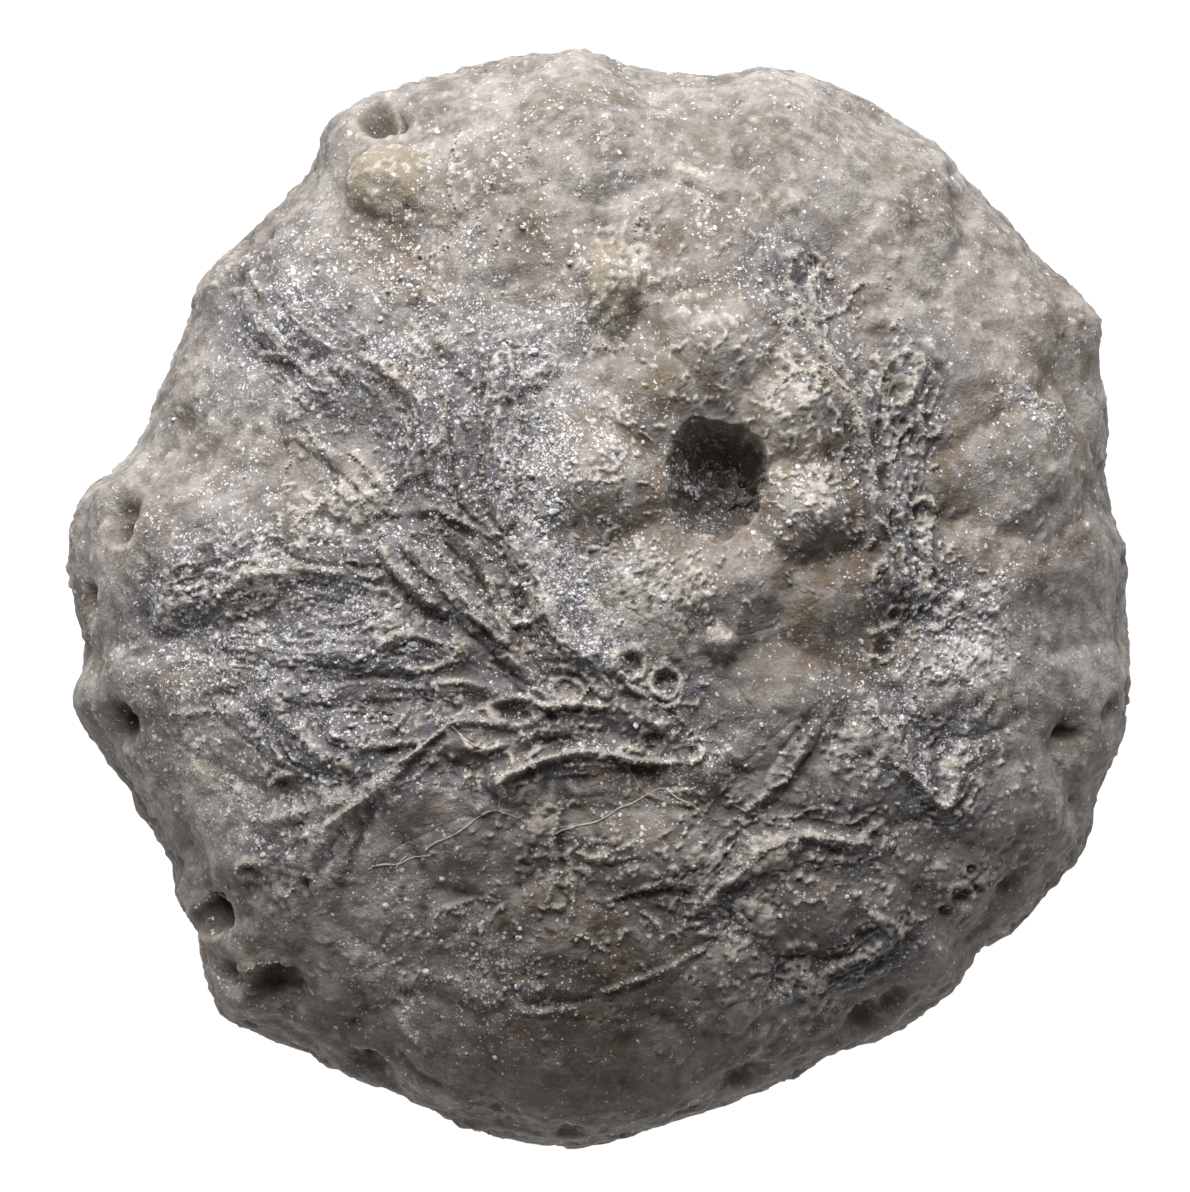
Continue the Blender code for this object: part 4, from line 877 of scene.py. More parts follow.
# Where white dust and grit stick thickest
DUSTY = each(
    Spot,
    (543, 420, 1.2, 0.9), (542, 460, 1.3, 1), (543, 510, 1.3, 0.95), (560, 560, 1.5, 0.56),
    (575, 612, 1.4, 0.56), (430, 330, 2.2, 0.49), (540, 345, 1.7, 0.85), (330, 270, 3.2, 0.35),
    (225, 720, 3, 0.52), (200, 765, 2, 0.45), (560, 592, 1.3, 0.42), (330, 700, 2.6, 0.35),
    (250, 520, 2.8, 0.28), (320, 640, 2.8, 0.32), (640, 600, 2.6, 0.52), (955, 650, 2.4, 0.9),
    (970, 600, 1.6, 0.42), (440, 965, 2.2, 0.42), (392, 985, 1.2, 0.49), (362, 945, 0.9, 0.49),
    (510, 960, 2, 0.32), (600, 840, 1.4, 0.28), (690, 755, 2, 0.32), (850, 690, 2.2, 0.35),
    (290, 810, 2, 0.42), (300, 540, 2.2, 0.24), (470, 270, 2.6, 0.35), (590, 300, 1.6, 0.35),
    (250, 380, 2.2, 0.28), (200, 640, 2.4, 0.35), (430, 520, 2.6, 0.35), (620, 430, 1.4, 0.35),
    (605, 480, 1.3, 0.32), (798, 500, 1.3, 0.35), (900, 560, 1.4, 0.42), (720, 250, 2, 0.28),
    (800, 300, 1.8, 0.32), (930, 740, 1.8, 0.28), (740, 900, 2.2, 0.24), (690, 480, 1.6, 0.42),
    (420, 640, 2.4, 0.32), (560, 700, 2.2, 0.28), (310, 330, 3, 0.32), (470, 420, 2.4, 0.28),
    (420, 890, 2, 0.21), (650, 900, 2.4, 0.21), (780, 990, 2.2, 0.24), (960, 880, 1.8, 0.24),
    (995, 398, 0.6, 0.49), (1012, 406, 0.6, 0.9), (1030, 418, 0.6, 0.9), (1050, 432, 0.7, 0.42),
    (200, 600, 2.6, 0.4), (560, 130, 4, 0.08), (950, 480, 3, 0.1), (370, 410, 2.4, 0.17),
    (880, 830, 2.4, 0.21),
)

# Where the stone is stained brown, and where brown painted shade lies in pits, at the feet of knobs,
# by the opening's upper edge and over the lower lid
STAIN_AND_SHADE_SPOTS = each(
    Spot,
    (600, 1000, 4.5, 0.9), (620, 900, 3, 0.4), (665, 382, 1.2, 1), (690, 398, 1, 1), (636, 400, 0.9, 0.6),
    (602, 524, 1.5, 0.9), (560, 505, 1, 0.6), (570, 592, 0.9, 0.5), (775, 545, 1.1, 0.9),
    (820, 552, 1.3, 0.8), (800, 448, 0.9, 0.7), (760, 470, 0.6, 0.8), (850, 545, 1.1, 0.6),
    (872, 330, 0.9, 1), (832, 280, 0.9, 0.9), (720, 276, 1.3, 0.5), (790, 642, 1.4, 0.9),
    (850, 636, 1.8, 0.9), (880, 650, 0.9, 0.9), (820, 600, 2, 0.5), (955, 345, 0.9, 0.6),
    (1052, 378, 1.5, 0.5), (1000, 340, 2.2, 0.4), (710, 610, 1, 0.5), (385, 232, 1.4, 1),
    (425, 205, 1, 0.6), (530, 238, 1.2, 0.9), (400, 262, 0.9, 0.8), (262, 240, 0.9, 0.7),
    (238, 290, 1, 0.5), (380, 125, 1.2, 0.8), (125, 532, 1.2, 0.9), (430, 295, 0.9, 0.7),
    (550, 300, 1.2, 0.5), (250, 600, 1.2, 0.7), (230, 685, 1.4, 0.6), (185, 668, 0.9, 0.8),
    (640, 768, 1.7, 0.9), (690, 778, 1.4, 0.7), (560, 770, 2.2, 0.5), (470, 740, 1.5, 0.6),
    (350, 860, 1.6, 0.5), (220, 915, 1, 0.9), (265, 980, 1.4, 0.9), (238, 975, 0.8, 0.7),
    (372, 1055, 1, 0.9), (500, 1030, 4, 0.4), (750, 1060, 2.2, 0.8), (870, 1000, 1.4, 0.9),
    (690, 820, 1, 0.4), (800, 870, 2.4, 0.5), (930, 870, 2, 0.5), (960, 960, 2.4, 0.5),
    (1010, 690, 1.2, 0.6), (510, 910, 1.6, 0.5), (270, 900, 1.5, 0.5), (360, 1030, 2.2, 0.4),
    (545, 60, 1.2, 0.4), (470, 180, 1, 0.4), (500, 205, 0.9, 0.6), (130, 725, 1.2, 0.7),
    (100, 640, 1.4, 0.4), (1060, 735, 0.9, 0.8), (330, 1010, 1.6, 0.3), (410, 400, 0.7, 0.7),
    (400, 385, 0.7, 0.7), (500, 600, 0.9, 0.7), (540, 634, 0.9, 0.8), (490, 540, 1.1, 0.5),
)

# Spots of painted shade, many of them over the lower lid, which faces away from the light
SHADE_SPOTS = each(
    Spot,
    (610, 990, 3.6, 0.55), (620, 1070, 3.4, 0.35), (500, 1060, 3, 0.25), (530, 900, 2.6, 0.45),
    (540, 1000, 2.6, 0.25), (740, 690, 2.2, 0.5), (630, 800, 2.2, 0.3), (450, 560, 2.4, 0.55),
    (330, 300, 3, 0.14), (1000, 480, 2.4, 0.22), (430, 470, 2.2, 0.2), (540, 660, 2, 0.15),
    (830, 690, 1.6, 0.3), (840, 490, 1.2, 0.45), (930, 470, 1.4, 0.3), (620, 350, 1.8, 0.25),
    (540, 270, 1.8, 0.2), (720, 800, 2.2, 0.2), (840, 810, 2.2, 0.18), (820, 900, 2.2, 0.25),
)

# The areas that get a finer mesh of their own: how far apart its points lie, and its chart outline
FINE_AREAS = {
    "colony_left": (
        0.064,
        ((230, 252), (326, 220), (430, 242), (480, 314), (576, 346), (558, 428), (550, 543), (569, 621),
         (652, 647), (740, 663), (772, 715), (720, 774), (600, 787), (501, 803), (387, 793), (304, 808),
         (220, 756), (158, 652), (168, 527), (278, 480), (256, 381)),
    ),
    "colony_right": (
        0.052,
        ((756, 278), (792, 226), (850, 257), (922, 335), (964, 424), (954, 517), (1010, 585), (1021, 683),
         (928, 704), (844, 663), (840, 548), (860, 470), (840, 382)),
    ),
    "crust_lower": (
        0.066,
        ((574, 777), (714, 761), (782, 699), (912, 694), (1032, 715), (1047, 813), (974, 928), (886, 990),
         (766, 1006), (626, 1032), (470, 1021), (372, 964), (360, 845), (460, 793)),
    ),
    "crust_top": (
        0.085,
        ((324, 231), (356, 148), (434, 122), (553, 117), (678, 127), (772, 168), (782, 257), (730, 299),
         (600, 351), (486, 319), (434, 247)),
    ),
}
# fmt: on


@dataclass(frozen=True)
class Relief:
    """All of the calyx's relief and masks, worked out on any set of its points."""

    edge_band: float = 4.0
    edge_relief: float = 0.3
    edge_wear: float = 0.15
    suture_depth: float = 0.22
    suture_width: float = 0.60
    pillow_height: float = 0.40
    pillow_lid_share: float = 0.6
    pillow_shoulder: float = 2.0
    lid_suture_share: float = 0.35
    colony_reach: float = 2.6  # how far from a strand the colony covers the stone
    hill_share: float = 0.85
    knob_share: float = 1.2
    strand_share: float = 0.52  # of the strands' full height, the rest of which their tubes make up
    tube_share: float = 0.66
    cell_length: float = 2.4
    cell_width: float = 0.36
    cell_height: float = 0.125
    drift: float = 0.25  # how far the cells wander from the strands' lines
    drift_size: float = 1.3
    cell_wall: float = 0.09  # half width of the walls, as a share of the cells' noise
    pore_size: float = 0.62
    pore_depth: float = 0.07
    break_size: float = 1.3  # of the broken places near the edge
    break_depth: float = 0.32
    crest_share: float = 0.48
    crevice_share: float = 0.34
    crust_height: float = 0.08
    crust_grains: tuple = (0.36, 0.17)
    opening_share: float = 0.7
    dust: float = 0.10  # over all of the lid
    colony_dust: float = 0.05
    cup_stain: float = 0.25
    # low_side_shade is brown painted shade
    low_side_shade: float = 0.7  # on the side away from the light
    # Layers of weathering, as (size of lumps, height)
    broad_lumps: tuple = ((4.5, 0.45), (1.6, 0.22))
    fine_lumps: tuple = ((0.75, 0.11), (0.40, 0.05), (0.21, 0.022))

    def plates(self, ground: Ground) -> None:
        """Swells the plates like low pillows, with a groove along each suture."""
        centres = [BODY.lid(x, y) for x, y in LID_PLATES]
        for number, (count, share) in enumerate(CUP_RINGS):
            for plate in range(count):
                turn = 2 * math.pi * (plate + 0.5 * (number % 2) + 0.2) / count
                centres.append(BODY.bowl(turn, share))
        nearest = np.full(len(ground.points), np.inf)
        second = nearest.copy()
        for centre in centres:
            gap = np.linalg.norm(ground.points - centre, axis=1)
            second = np.minimum(second, np.maximum(gap, nearest))
            nearest = np.minimum(nearest, gap)
        inside = second - nearest
        on_lid = ground.points[:, 2] > 0
        pillow = self.pillow_height * (1 - np.exp(-inside / self.pillow_shoulder))
        suture = self.suture_depth * bell(inside, self.suture_width)
        ground.height += pillow * np.where(on_lid, self.pillow_lid_share, 1.0)
        ground.height -= suture * np.where(on_lid, self.lid_suture_share, 1.0)

    def strands(self, ground: Ground) -> None:
        """Raises the colony's main strands, and covers them with small worn cells drawn out along them."""
        raised = np.zeros(len(ground.points))
        nearest = np.full(len(ground.points), self.colony_reach)
        along, across = raised.copy(), raised.copy()
        for number, ridge in enumerate(RIDGES):
            line = smooth_line(ridge.route)
            index, gap, share = ground.along(line, self.colony_reach)
            raised[index] = np.maximum(raised[index], ridge.height * bell(gap, ridge.width))
            stops = np.linspace(0, 1, len(line))
            foot = np.stack([np.interp(share, stops, line[:, axis]) for axis in (0, 1)])
            way = np.stack([np.interp(share, stops, np.gradient(line[:, axis])) for axis in (0, 1)])
            off = ground.points[index, :2].T - foot
            side = np.sign(way[0] * off[1] - way[1] * off[0])
            length = np.linalg.norm(np.diff(line, axis=0), axis=1).sum()
            closer = gap < nearest[index]
            kept = index[closer]
            nearest[kept] = gap[closer]
            along[kept] = share[closer] * length + 10 * number
            across[kept] = (side * gap)[closer]
        cover = rise(nearest, self.colony_reach, 0.7)
        ground.mark(Mask.COLONY, ..., cover)
        ground.height += self.strand_share * raised
        self.cells(ground, along, across, cover)

    def cells(self, ground: Ground, along: Array, across: Array, cover: Array) -> None:
        """Raises the cells' thin walls, where noise stretched along the strands passes through nothing.

        Args:
            ground: takes the walls.
            along: how far along its nearest strand each point lies.
            across: how far to that strand's left it lies.
            cover: how much of the colony there is at each point.
        """
        drift = self.drift * noise_at(ground.points, self.drift_size, Pattern.DRIFT)
        spots = np.stack([along / self.cell_length, (across + drift) / self.cell_width, 0 * along], axis=1)
        pattern = noise_at(spots, 1.0, Pattern.CELLS) + 0.12 * ground.ragged
        cover = cover * rise(ground.worn, WORN_AWAY, 0.05)
        walls = cover * bell(pattern, self.cell_wall)
        ground.crest = np.maximum(ground.crest, self.cell_height * walls)
        ground.mark(Mask.PALE, ..., 0.7 * walls)
        inside = cover * rise(pattern, -0.05, -0.35)
        ground.crevice = np.maximum(ground.crevice, 0.5 * self.cell_height * inside)
        # Painted shade inside the cells
        ground.mark(Mask.DARK, ..., 0.45 * inside)

    def arm_openings(self, ground: Ground) -> None:
        """Sinks the pits where arms joined the edge, and paints brown and blacker shade in them."""
        sink = np.zeros(len(ground.points))
        for degrees, share, radius, depth in ARM_OPENINGS:
            angle = math.radians(degrees)
            reach = share * BODY.edge_radius(np.array([angle]))[0]
            centre = BODY.lid(reach * math.cos(angle), reach * math.sin(angle))
            gap = np.linalg.norm(ground.points - centre, axis=1) / radius
            sink = np.maximum(sink, depth / (1 + gap**5))
            # Painted shade in each opening: brown over it, and blacker in its middle
            ground.mark(Mask.BROWN, ..., 0.9 * depth / (1 + gap**4))
            ground.mark(Mask.DARK, ..., 0.3 * depth / (1 + (1.25 * gap) ** 5))
        ground.height -= self.opening_share * sink

    def weather(self, ground: Ground, lumps: tuple, gain: Array | float) -> None:
        """Adds each layer of lumps that the ground's spacing can hold, times a gain."""
        for size, height in lumps:
            if size > 2.2 * ground.spacing:
                ground.height += height * gain * noise_at(ground.points, size)

    def pores(self, ground: Ground, near_edge: Array) -> None:
        """Opens small pores everywhere, and breaks up the stone near the edge, with painted shade in both.
        """
        pores = noise_at(ground.points, self.pore_size, Pattern.PORES) + 0.5 * ground.ragged
        pores = rise(pores, 0.42, 0.85)
        broken = noise_at(ground.points, self.break_size, Pattern.BREAKS) + 0.35 * ground.ragged
        broken = near_edge * rise(broken, 0.15, 0.55)
        ground.height -= self.pore_depth * pores + self.break_depth * broken
        # Painted shade in the pores and the broken places
        ground.mark(Mask.DARK, ..., np.maximum(0.45 * pores, 0.6 * broken))

    def crust(self, ground: Ground) -> None:
        """Lets pale mineral crust over the walls and the crusted patches, in small lumps."""
        strength = 0.75 * ground.masks[Mask.PALE] + 0.16 * ground.masks[Mask.COLONY]
        strength += sum(spot.over(ground.points) for spot in CRUSTED)
        coarse, fine = self.crust_grains
        grain = noise_at(ground.points, coarse, Pattern.CRUST)
        grain += 0.7 * noise_at(ground.points, fine, Pattern.FINE_CRUST)
        lumps = rise(1.4 * grain + strength, 0.62, 1.10)
        ground.height += self.crust_height * lumps * (1 + 0.6 * grain)
        pale = ground.masks[Mask.PALE]
        ground.masks[Mask.PALE] = np.maximum(pale * (0.65 + 0.35 * lumps), 0.95 * lumps)

    def soil_and_shade(self, ground: Ground) -> None:
        """Lets dust lie on what faces up, and lays brown stains and painted shade over the stone: brown
        painted shade on the side away from the light, and spots of blacker painted shade.
        """
        points, masks = ground.points, ground.masks
        _, y, z = points.T
        dust = self.dust + self.colony_dust * masks[Mask.COLONY] + sum(spot.over(points) for spot in DUSTY)
        masks[Mask.SPECKS] = dust * rise(z, -9, -1)
        # The low side, away from the light, which takes brown painted shade
        low_side = rise(z, 4, 0.5) * rise(y, 5, -8)
        stain_and_shade = sum(spot.over(points) for spot in STAIN_AND_SHADE_SPOTS)
        stain_and_shade += self.cup_stain * rise(z, 1, -3) + self.low_side_shade * low_side
        masks[Mask.BROWN] = np.maximum(masks[Mask.BROWN], stain_and_shade)
        # Spots of painted shade
        masks[Mask.DARK] += sum(spot.over(points) for spot in SHADE_SPOTS)

    def work(self, points: Array, spacing: float) -> Ground:
        """Works out the relief and the masks at points of the smooth body.

        Args:
            points: the points, with the edge at z = 0.
            spacing: how far apart they lie, which sets the finest lumps.

        Returns:
            The ground, whose height is the whole relief.
        """
        ground = Ground(points, spacing)
        for knob in KNOBS:
            knob.press(ground)
        ground.height *= self.knob_share
        for swell in SWELLS:
            swell.press(ground)
        ground.height *= self.hill_share
        self.plates(ground)
        self.strands(ground)
        self.weather(ground, self.broad_lumps, 1.0)
        self.arm_openings(ground)
        bare = ground.height.copy()
        for tube in TUBES:
            tube.press(ground)
        ground.height = bare + self.tube_share * (ground.height - bare)
        for feature in (*GROOVES, *WALLS, *PITS, *SCABS):
            feature.press(ground)
        ground.crevice *= 1 - 0.8 * rise(ground.crest, 0.05, 0.25)
        ground.height += self.crest_share * ground.crest - self.crevice_share * ground.crevice
        self.crust(ground)
        from_edge = np.clip(np.abs(points[:, 2]) / self.edge_band, 0, 1)
        ground.height *= self.edge_relief + (1 - self.edge_relief) * from_edge
        ground.height -= self.edge_wear * (1 - from_edge)
        near_edge = rise(from_edge, 1, 0.3)
        self.weather(ground, self.fine_lumps, 0.8 + 0.3 * ground.masks[Mask.COLONY] + 0.7 * near_edge)
        self.pores(ground, near_edge)
        self.soil_and_shade(ground)
        return ground


def ring_disc(rings: int) -> tuple[Array, Array, list[tuple[int, ...]]]:
    """A disc of even triangles: 6, 12, 18 ... points in rings round a middle point.

    Args:
        rings: how many rings it has.

    Returns:
        Each point's ring, its turn as a share of a circle, and the faces.
    """
    ring = np.repeat(np.arange(rings + 1), [1] + [6 * k for k in range(1, rings + 1)])
    turn = np.concatenate([[0.0]] + [np.arange(6 * k) / (6 * k) for k in range(1, rings + 1)])
    faces = []
    for k in range(1, rings + 1):
        outer, inner = 1 + 3 * k * (k - 1), 1 + 3 * (k - 1) * (k - 2) if k > 1 else 0
        around, within = 6 * k, max(1, 6 * (k - 1))
        for sector in range(6):
            for step in range(k):
                a = inner + (sector * (k - 1) + step) % within
                b = outer + sector * k + step
                c = outer + (sector * k + step + 1) % around
                faces.append((a, b, c))
                if step < k - 1:
                    faces.append((a, c, inner + (sector * (k - 1) + step + 1) % within))
    return ring, turn, faces


def mesh_object(
    name: str, points: Array, faces: Iterable[tuple[int, ...]] = (), edges: Iterable[tuple[int, int]] = ()
) -> bpy.types.Object:
    """A smooth object in the scene, from points in millimetres that stand on z = 0."""
    mesh = bpy.data.meshes.new(name)
    mesh.from_pydata((points * MM).tolist(), list(edges), list(faces))
    mesh.shade_smooth()
    piece = bpy.data.objects.new(name, mesh)
    bpy.context.scene.collection.objects.link(piece)
    return piece


def dress(
    piece: bpy.types.Object, ground: Ground, seen: Array, cavity_reach: float = CAVITY_REACH
) -> None:
    """Writes the ground's masks to the mesh, with crests and hollows found from its own shape.

    Args:
        piece: the object to dress, whose first points are the ground's.
        ground: what was worked out at them.
        seen: 1 where the piece is the surface, and 0 where another piece covers it.
        cavity_reach: how far round each point its neighbours are averaged.
    """
    mesh = piece.data
    ends = np.empty(2 * len(mesh.edges), np.int32)
    mesh.edges.foreach_get("vertices", ends)
    a, b = ends.reshape(-1, 2).T
    extra = np.zeros(len(mesh.vertices) - len(ground.points))
    height = np.concatenate([ground.height, extra])
    count = np.bincount(a, minlength=len(height)) + np.bincount(b, minlength=len(height))
    smooth = height.copy()
    for _ in range(max(2, round((cavity_reach / ground.spacing) ** 2))):
        total = np.bincount(a, smooth[b], len(height)) + np.bincount(b, smooth[a], len(height))
        smooth = 0.4 * smooth + 0.6 * total / np.maximum(count, 1)
    # Cavity: how far each point stands out from its neighbours, from which the stone's material paints
    # highlights on crests and shade in hollows
    masks = {**ground.masks, Mask.CAVITY: (height - smooth)[: len(seen)] / CAVITY_DEPTH}
    clusters = rise(noise_at(ground.points, GRIT_CLUSTER, Pattern.GRIT), 0.1, 0.5)
    specks = np.clip(ground.masks[Mask.SPECKS], 0, 1.2)
    masks[Mask.GRIT] = seen * (clusters * specks**2 + 0.4 * rise(specks, 0.9, 1.2))
    for name, values in masks.items():
        layer = mesh.attributes.new(name.value, "FLOAT", "POINT")
        values = np.concatenate([np.clip(values, -1, 1.5), extra])
        layer.data.foreach_set("value", values.astype(np.float32))


@dataclass(frozen=True)
class Vent:
    """The anal opening: a pit with an uneven rim and lining, and the ring of knobs round it."""

    x: float = 4.4
    y: float = 4.05
    rim: tuple = (
        (679, 426), (700, 420), (733, 424), (750, 434), (761, 451), (767, 470), (763, 497), (754, 517),
        (737, 536), (717, 546), (692, 542), (671, 528), (662, 505), (667, 486), (664, 467), (667, 447),
    )  # fmt: skip
    depth: float = 3.0
    lean: float = 0.35  # how far its floor lies to the right of and below its mouth
    reach: float = 6.3  # of the finer mesh round it
    floor_share: float = 0.50  # of the pit's width, that its floor takes up
    lip: float = 1.08  # share of the rim's radius at which the pit begins
    well: float = 6.0  # how far the coarser stone is sunk behind the lining
    rings: int = 126
    # Shares of the rings that end at the floor's edge, the rim and the lip
    floor_rings: float = 0.16
    rim_rings: float = 0.50
    lip_rings: float = 0.56
    # The lining's lumps, as (size, height, place in the noise)
    lumps: tuple = ((0.95, 0.22, 4.0), (0.45, 0.26, 5.0), (0.22, 0.17, 6.0))

    def margin(self, points: Array) -> Array:
        """How far inside its own fine mesh each plan position lies."""
        return self.reach - np.hypot(points[:, 0] - self.x, points[:, 1] - self.y)

    def edge(self, angle: Array) -> Array:
        """Radius of the uneven rim at each angle."""
        corners = smooth_line(plan((*self.rim, self.rim[0])))[:, :2] - (self.x, self.y)
        turns = np.arctan2(corners[:, 1], corners[:, 0])
        radius = np.interp(angle, turns, np.hypot(*corners.T), period=2 * math.pi)
        spots = np.stack([np.cos(angle) * 1.6, np.sin(angle) * 1.6, np.zeros_like(angle)], axis=1)
        return radius / self.lip * (1 + 0.06 * noise_at(spots, 0.35, Pattern.VENT_RIM))

    def drop(self, share: Array) -> Array:
        """How deep the pit is at a share of the rim's radius."""
        return self.depth * rise(share, self.lip, self.floor_share) ** 0.75

    def sink(self, points: Array) -> Array:
        """How far the coarser stone is sunk so that it stays behind the pit's lining."""
        angle = np.arctan2(points[:, 1] - self.y, points[:, 0] - self.x)
        share = (self.reach - self.margin(points)) / self.edge(angle)
        return self.well * rise(share, 1.75, 1.3)

    def build(self, relief: Relief, coarse: float) -> bpy.types.Object:
        """Makes the ring of knobs with the opening's lining, as one closed fine mesh.

        Args:
            relief: works out the knobs.
            coarse: how many times wider than usual the points are spaced.

        Returns:
            The finished piece.
        """
        rings = round(self.rings / coarse)
        ring, turn, faces = ring_disc(rings)
        angle = 2 * math.pi * turn
        edge = self.edge(angle)
        part = ring / rings
        stops = [0, self.floor_rings, self.rim_rings, self.lip_rings]
        share = np.interp(part, stops, [0, self.floor_share, 1.0, self.lip])
        outside = np.clip((part - self.lip_rings) / (1 - self.lip_rings), 0, 1)
        radius = share * edge + outside * (self.reach - self.lip * edge)
        points = BODY.lid(self.x + radius * np.cos(angle), self.y + radius * np.sin(angle))
        ground = relief.work(points, self.reach / rings)
        down = self.drop(radius / edge)
        deep = down / self.depth
        ground.height -= 0.16 * rise(self.margin(points), 0.9, 0)
        surface = BODY.raised(points, ground.height)
        lumps = sum(height * noise_at(surface, size, place) for size, height, place in self.lumps)
        rough = rise(deep, 0.0, 0.30)
        surface[:, 0] += self.lean * deep + rough * lumps * np.cos(angle)
        surface[:, 1] += -self.lean * deep + rough * lumps * np.sin(angle)
        surface[:, 2] += rough * lumps - down
        masks = ground.masks
        # Painted shade down the opening: blacker between the lumps of its lining, and brown all down it
        masks[Mask.DARK] = np.maximum(masks[Mask.DARK], rise(deep, 0.08, 0.5) * rise(lumps, 0.5, -0.1))
        masks[Mask.BROWN] += 0.5 * rise(deep, 0.01, 0.15)
        left = rise(points[:, 0] - self.x, 0.6, -0.6)
        patches = rise(noise_at(surface, 0.8, Pattern.VENT_SPECKS), -0.2, 0.4)
        masks[Mask.SPECKS] += rough * (0.25 + 0.5 * left) * patches
        masks[Mask.PALE] *= 1 - 0.7 * rough
        border = np.flatnonzero(ring == rings)
        apex = len(surface)
        sides = [(int(b), int(a), apex) for a, b in zip(border, np.roll(border, -1))]
        middle = [self.x, self.y, HIDDEN_Z]
        piece = mesh_object("knob_ring", np.vstack([surface, middle]), faces + sides)
        dress(piece, ground, rise(self.margin(points), *GRIT_MARGIN))
        return piece


VENT = Vent()


@dataclass(frozen=True)
class FineArea:
    """A finer mesh over part of the lid, whose border is tucked just under the stone."""

    name: str
    spacing: float
    outline: tuple
    tuck: float = 0.16
    border: float = 0.9

    def margin(self, points: Array) -> Array:
        """How far inside its outline each plan position lies."""
        return signed_margin(plan(self.outline), points)

    def build(self, relief: Relief) -> bpy.types.Object:
        """Makes the area as one closed mesh: its surface, and sides that meet inside the stone.

        Args:
            relief: works out the surface.

        Returns:
            The finished piece.
        """
        corners = plan(self.outline)
        low, high = corners.min(0), corners.max(0)
        xs = np.arange(low[0], high[0] + self.spacing, self.spacing)
        ys = np.arange(low[1], high[1] + self.spacing, self.spacing)
        grid = np.stack(np.meshgrid(xs, ys), axis=-1).reshape(-1, 2)
        kept = (self.margin(grid) > 0).reshape(len(ys), len(xs))
        cells = kept[:-1, :-1] & kept[1:, :-1] & kept[:-1, 1:] & kept[1:, 1:]
        # Cells that would meet at a corner alone are left out
        cells[:-1, :-1] &= ~(cells[:-1, :-1] & cells[1:, 1:] & ~cells[1:, :-1] & ~cells[:-1, 1:])
        cells[1:, :-1] &= ~(cells[1:, :-1] & cells[:-1, 1:] & ~cells[:-1, :-1] & ~cells[1:, 1:])
        row, column = np.nonzero(cells)
        corner = row * len(xs) + column
        quads = np.stack([corner, corner + 1, corner + len(xs) + 1, corner + len(xs)], axis=1)
        used, index = np.unique(quads, return_inverse=True)
        quads = index.reshape(-1, 4)
        points = BODY.lid(*grid[used].T)
        ground = relief.work(points, self.spacing)
        margin = self.margin(points)
        ground.height -= self.tuck * rise(margin, self.border, 0)
        surface = BODY.raised(points, ground.height)
        ways = np.concatenate([quads[:, [n, (n + 1) % 4]] for n in range(4)])
        pairs = {tuple(way) for way in ways.tolist()}
        sides = sorted((b, a, len(surface)) for a, b in pairs if (b, a) not in pairs)
        middle = [*points[:, :2].mean(0), HIDDEN_Z]
        piece = mesh_object(self.name, np.vstack([surface, middle]), quads.tolist() + sides)
        dress(piece, ground, rise(margin, *GRIT_MARGIN) * (VENT.margin(points) < sum(GRIT_MARGIN) / 2))
        return piece


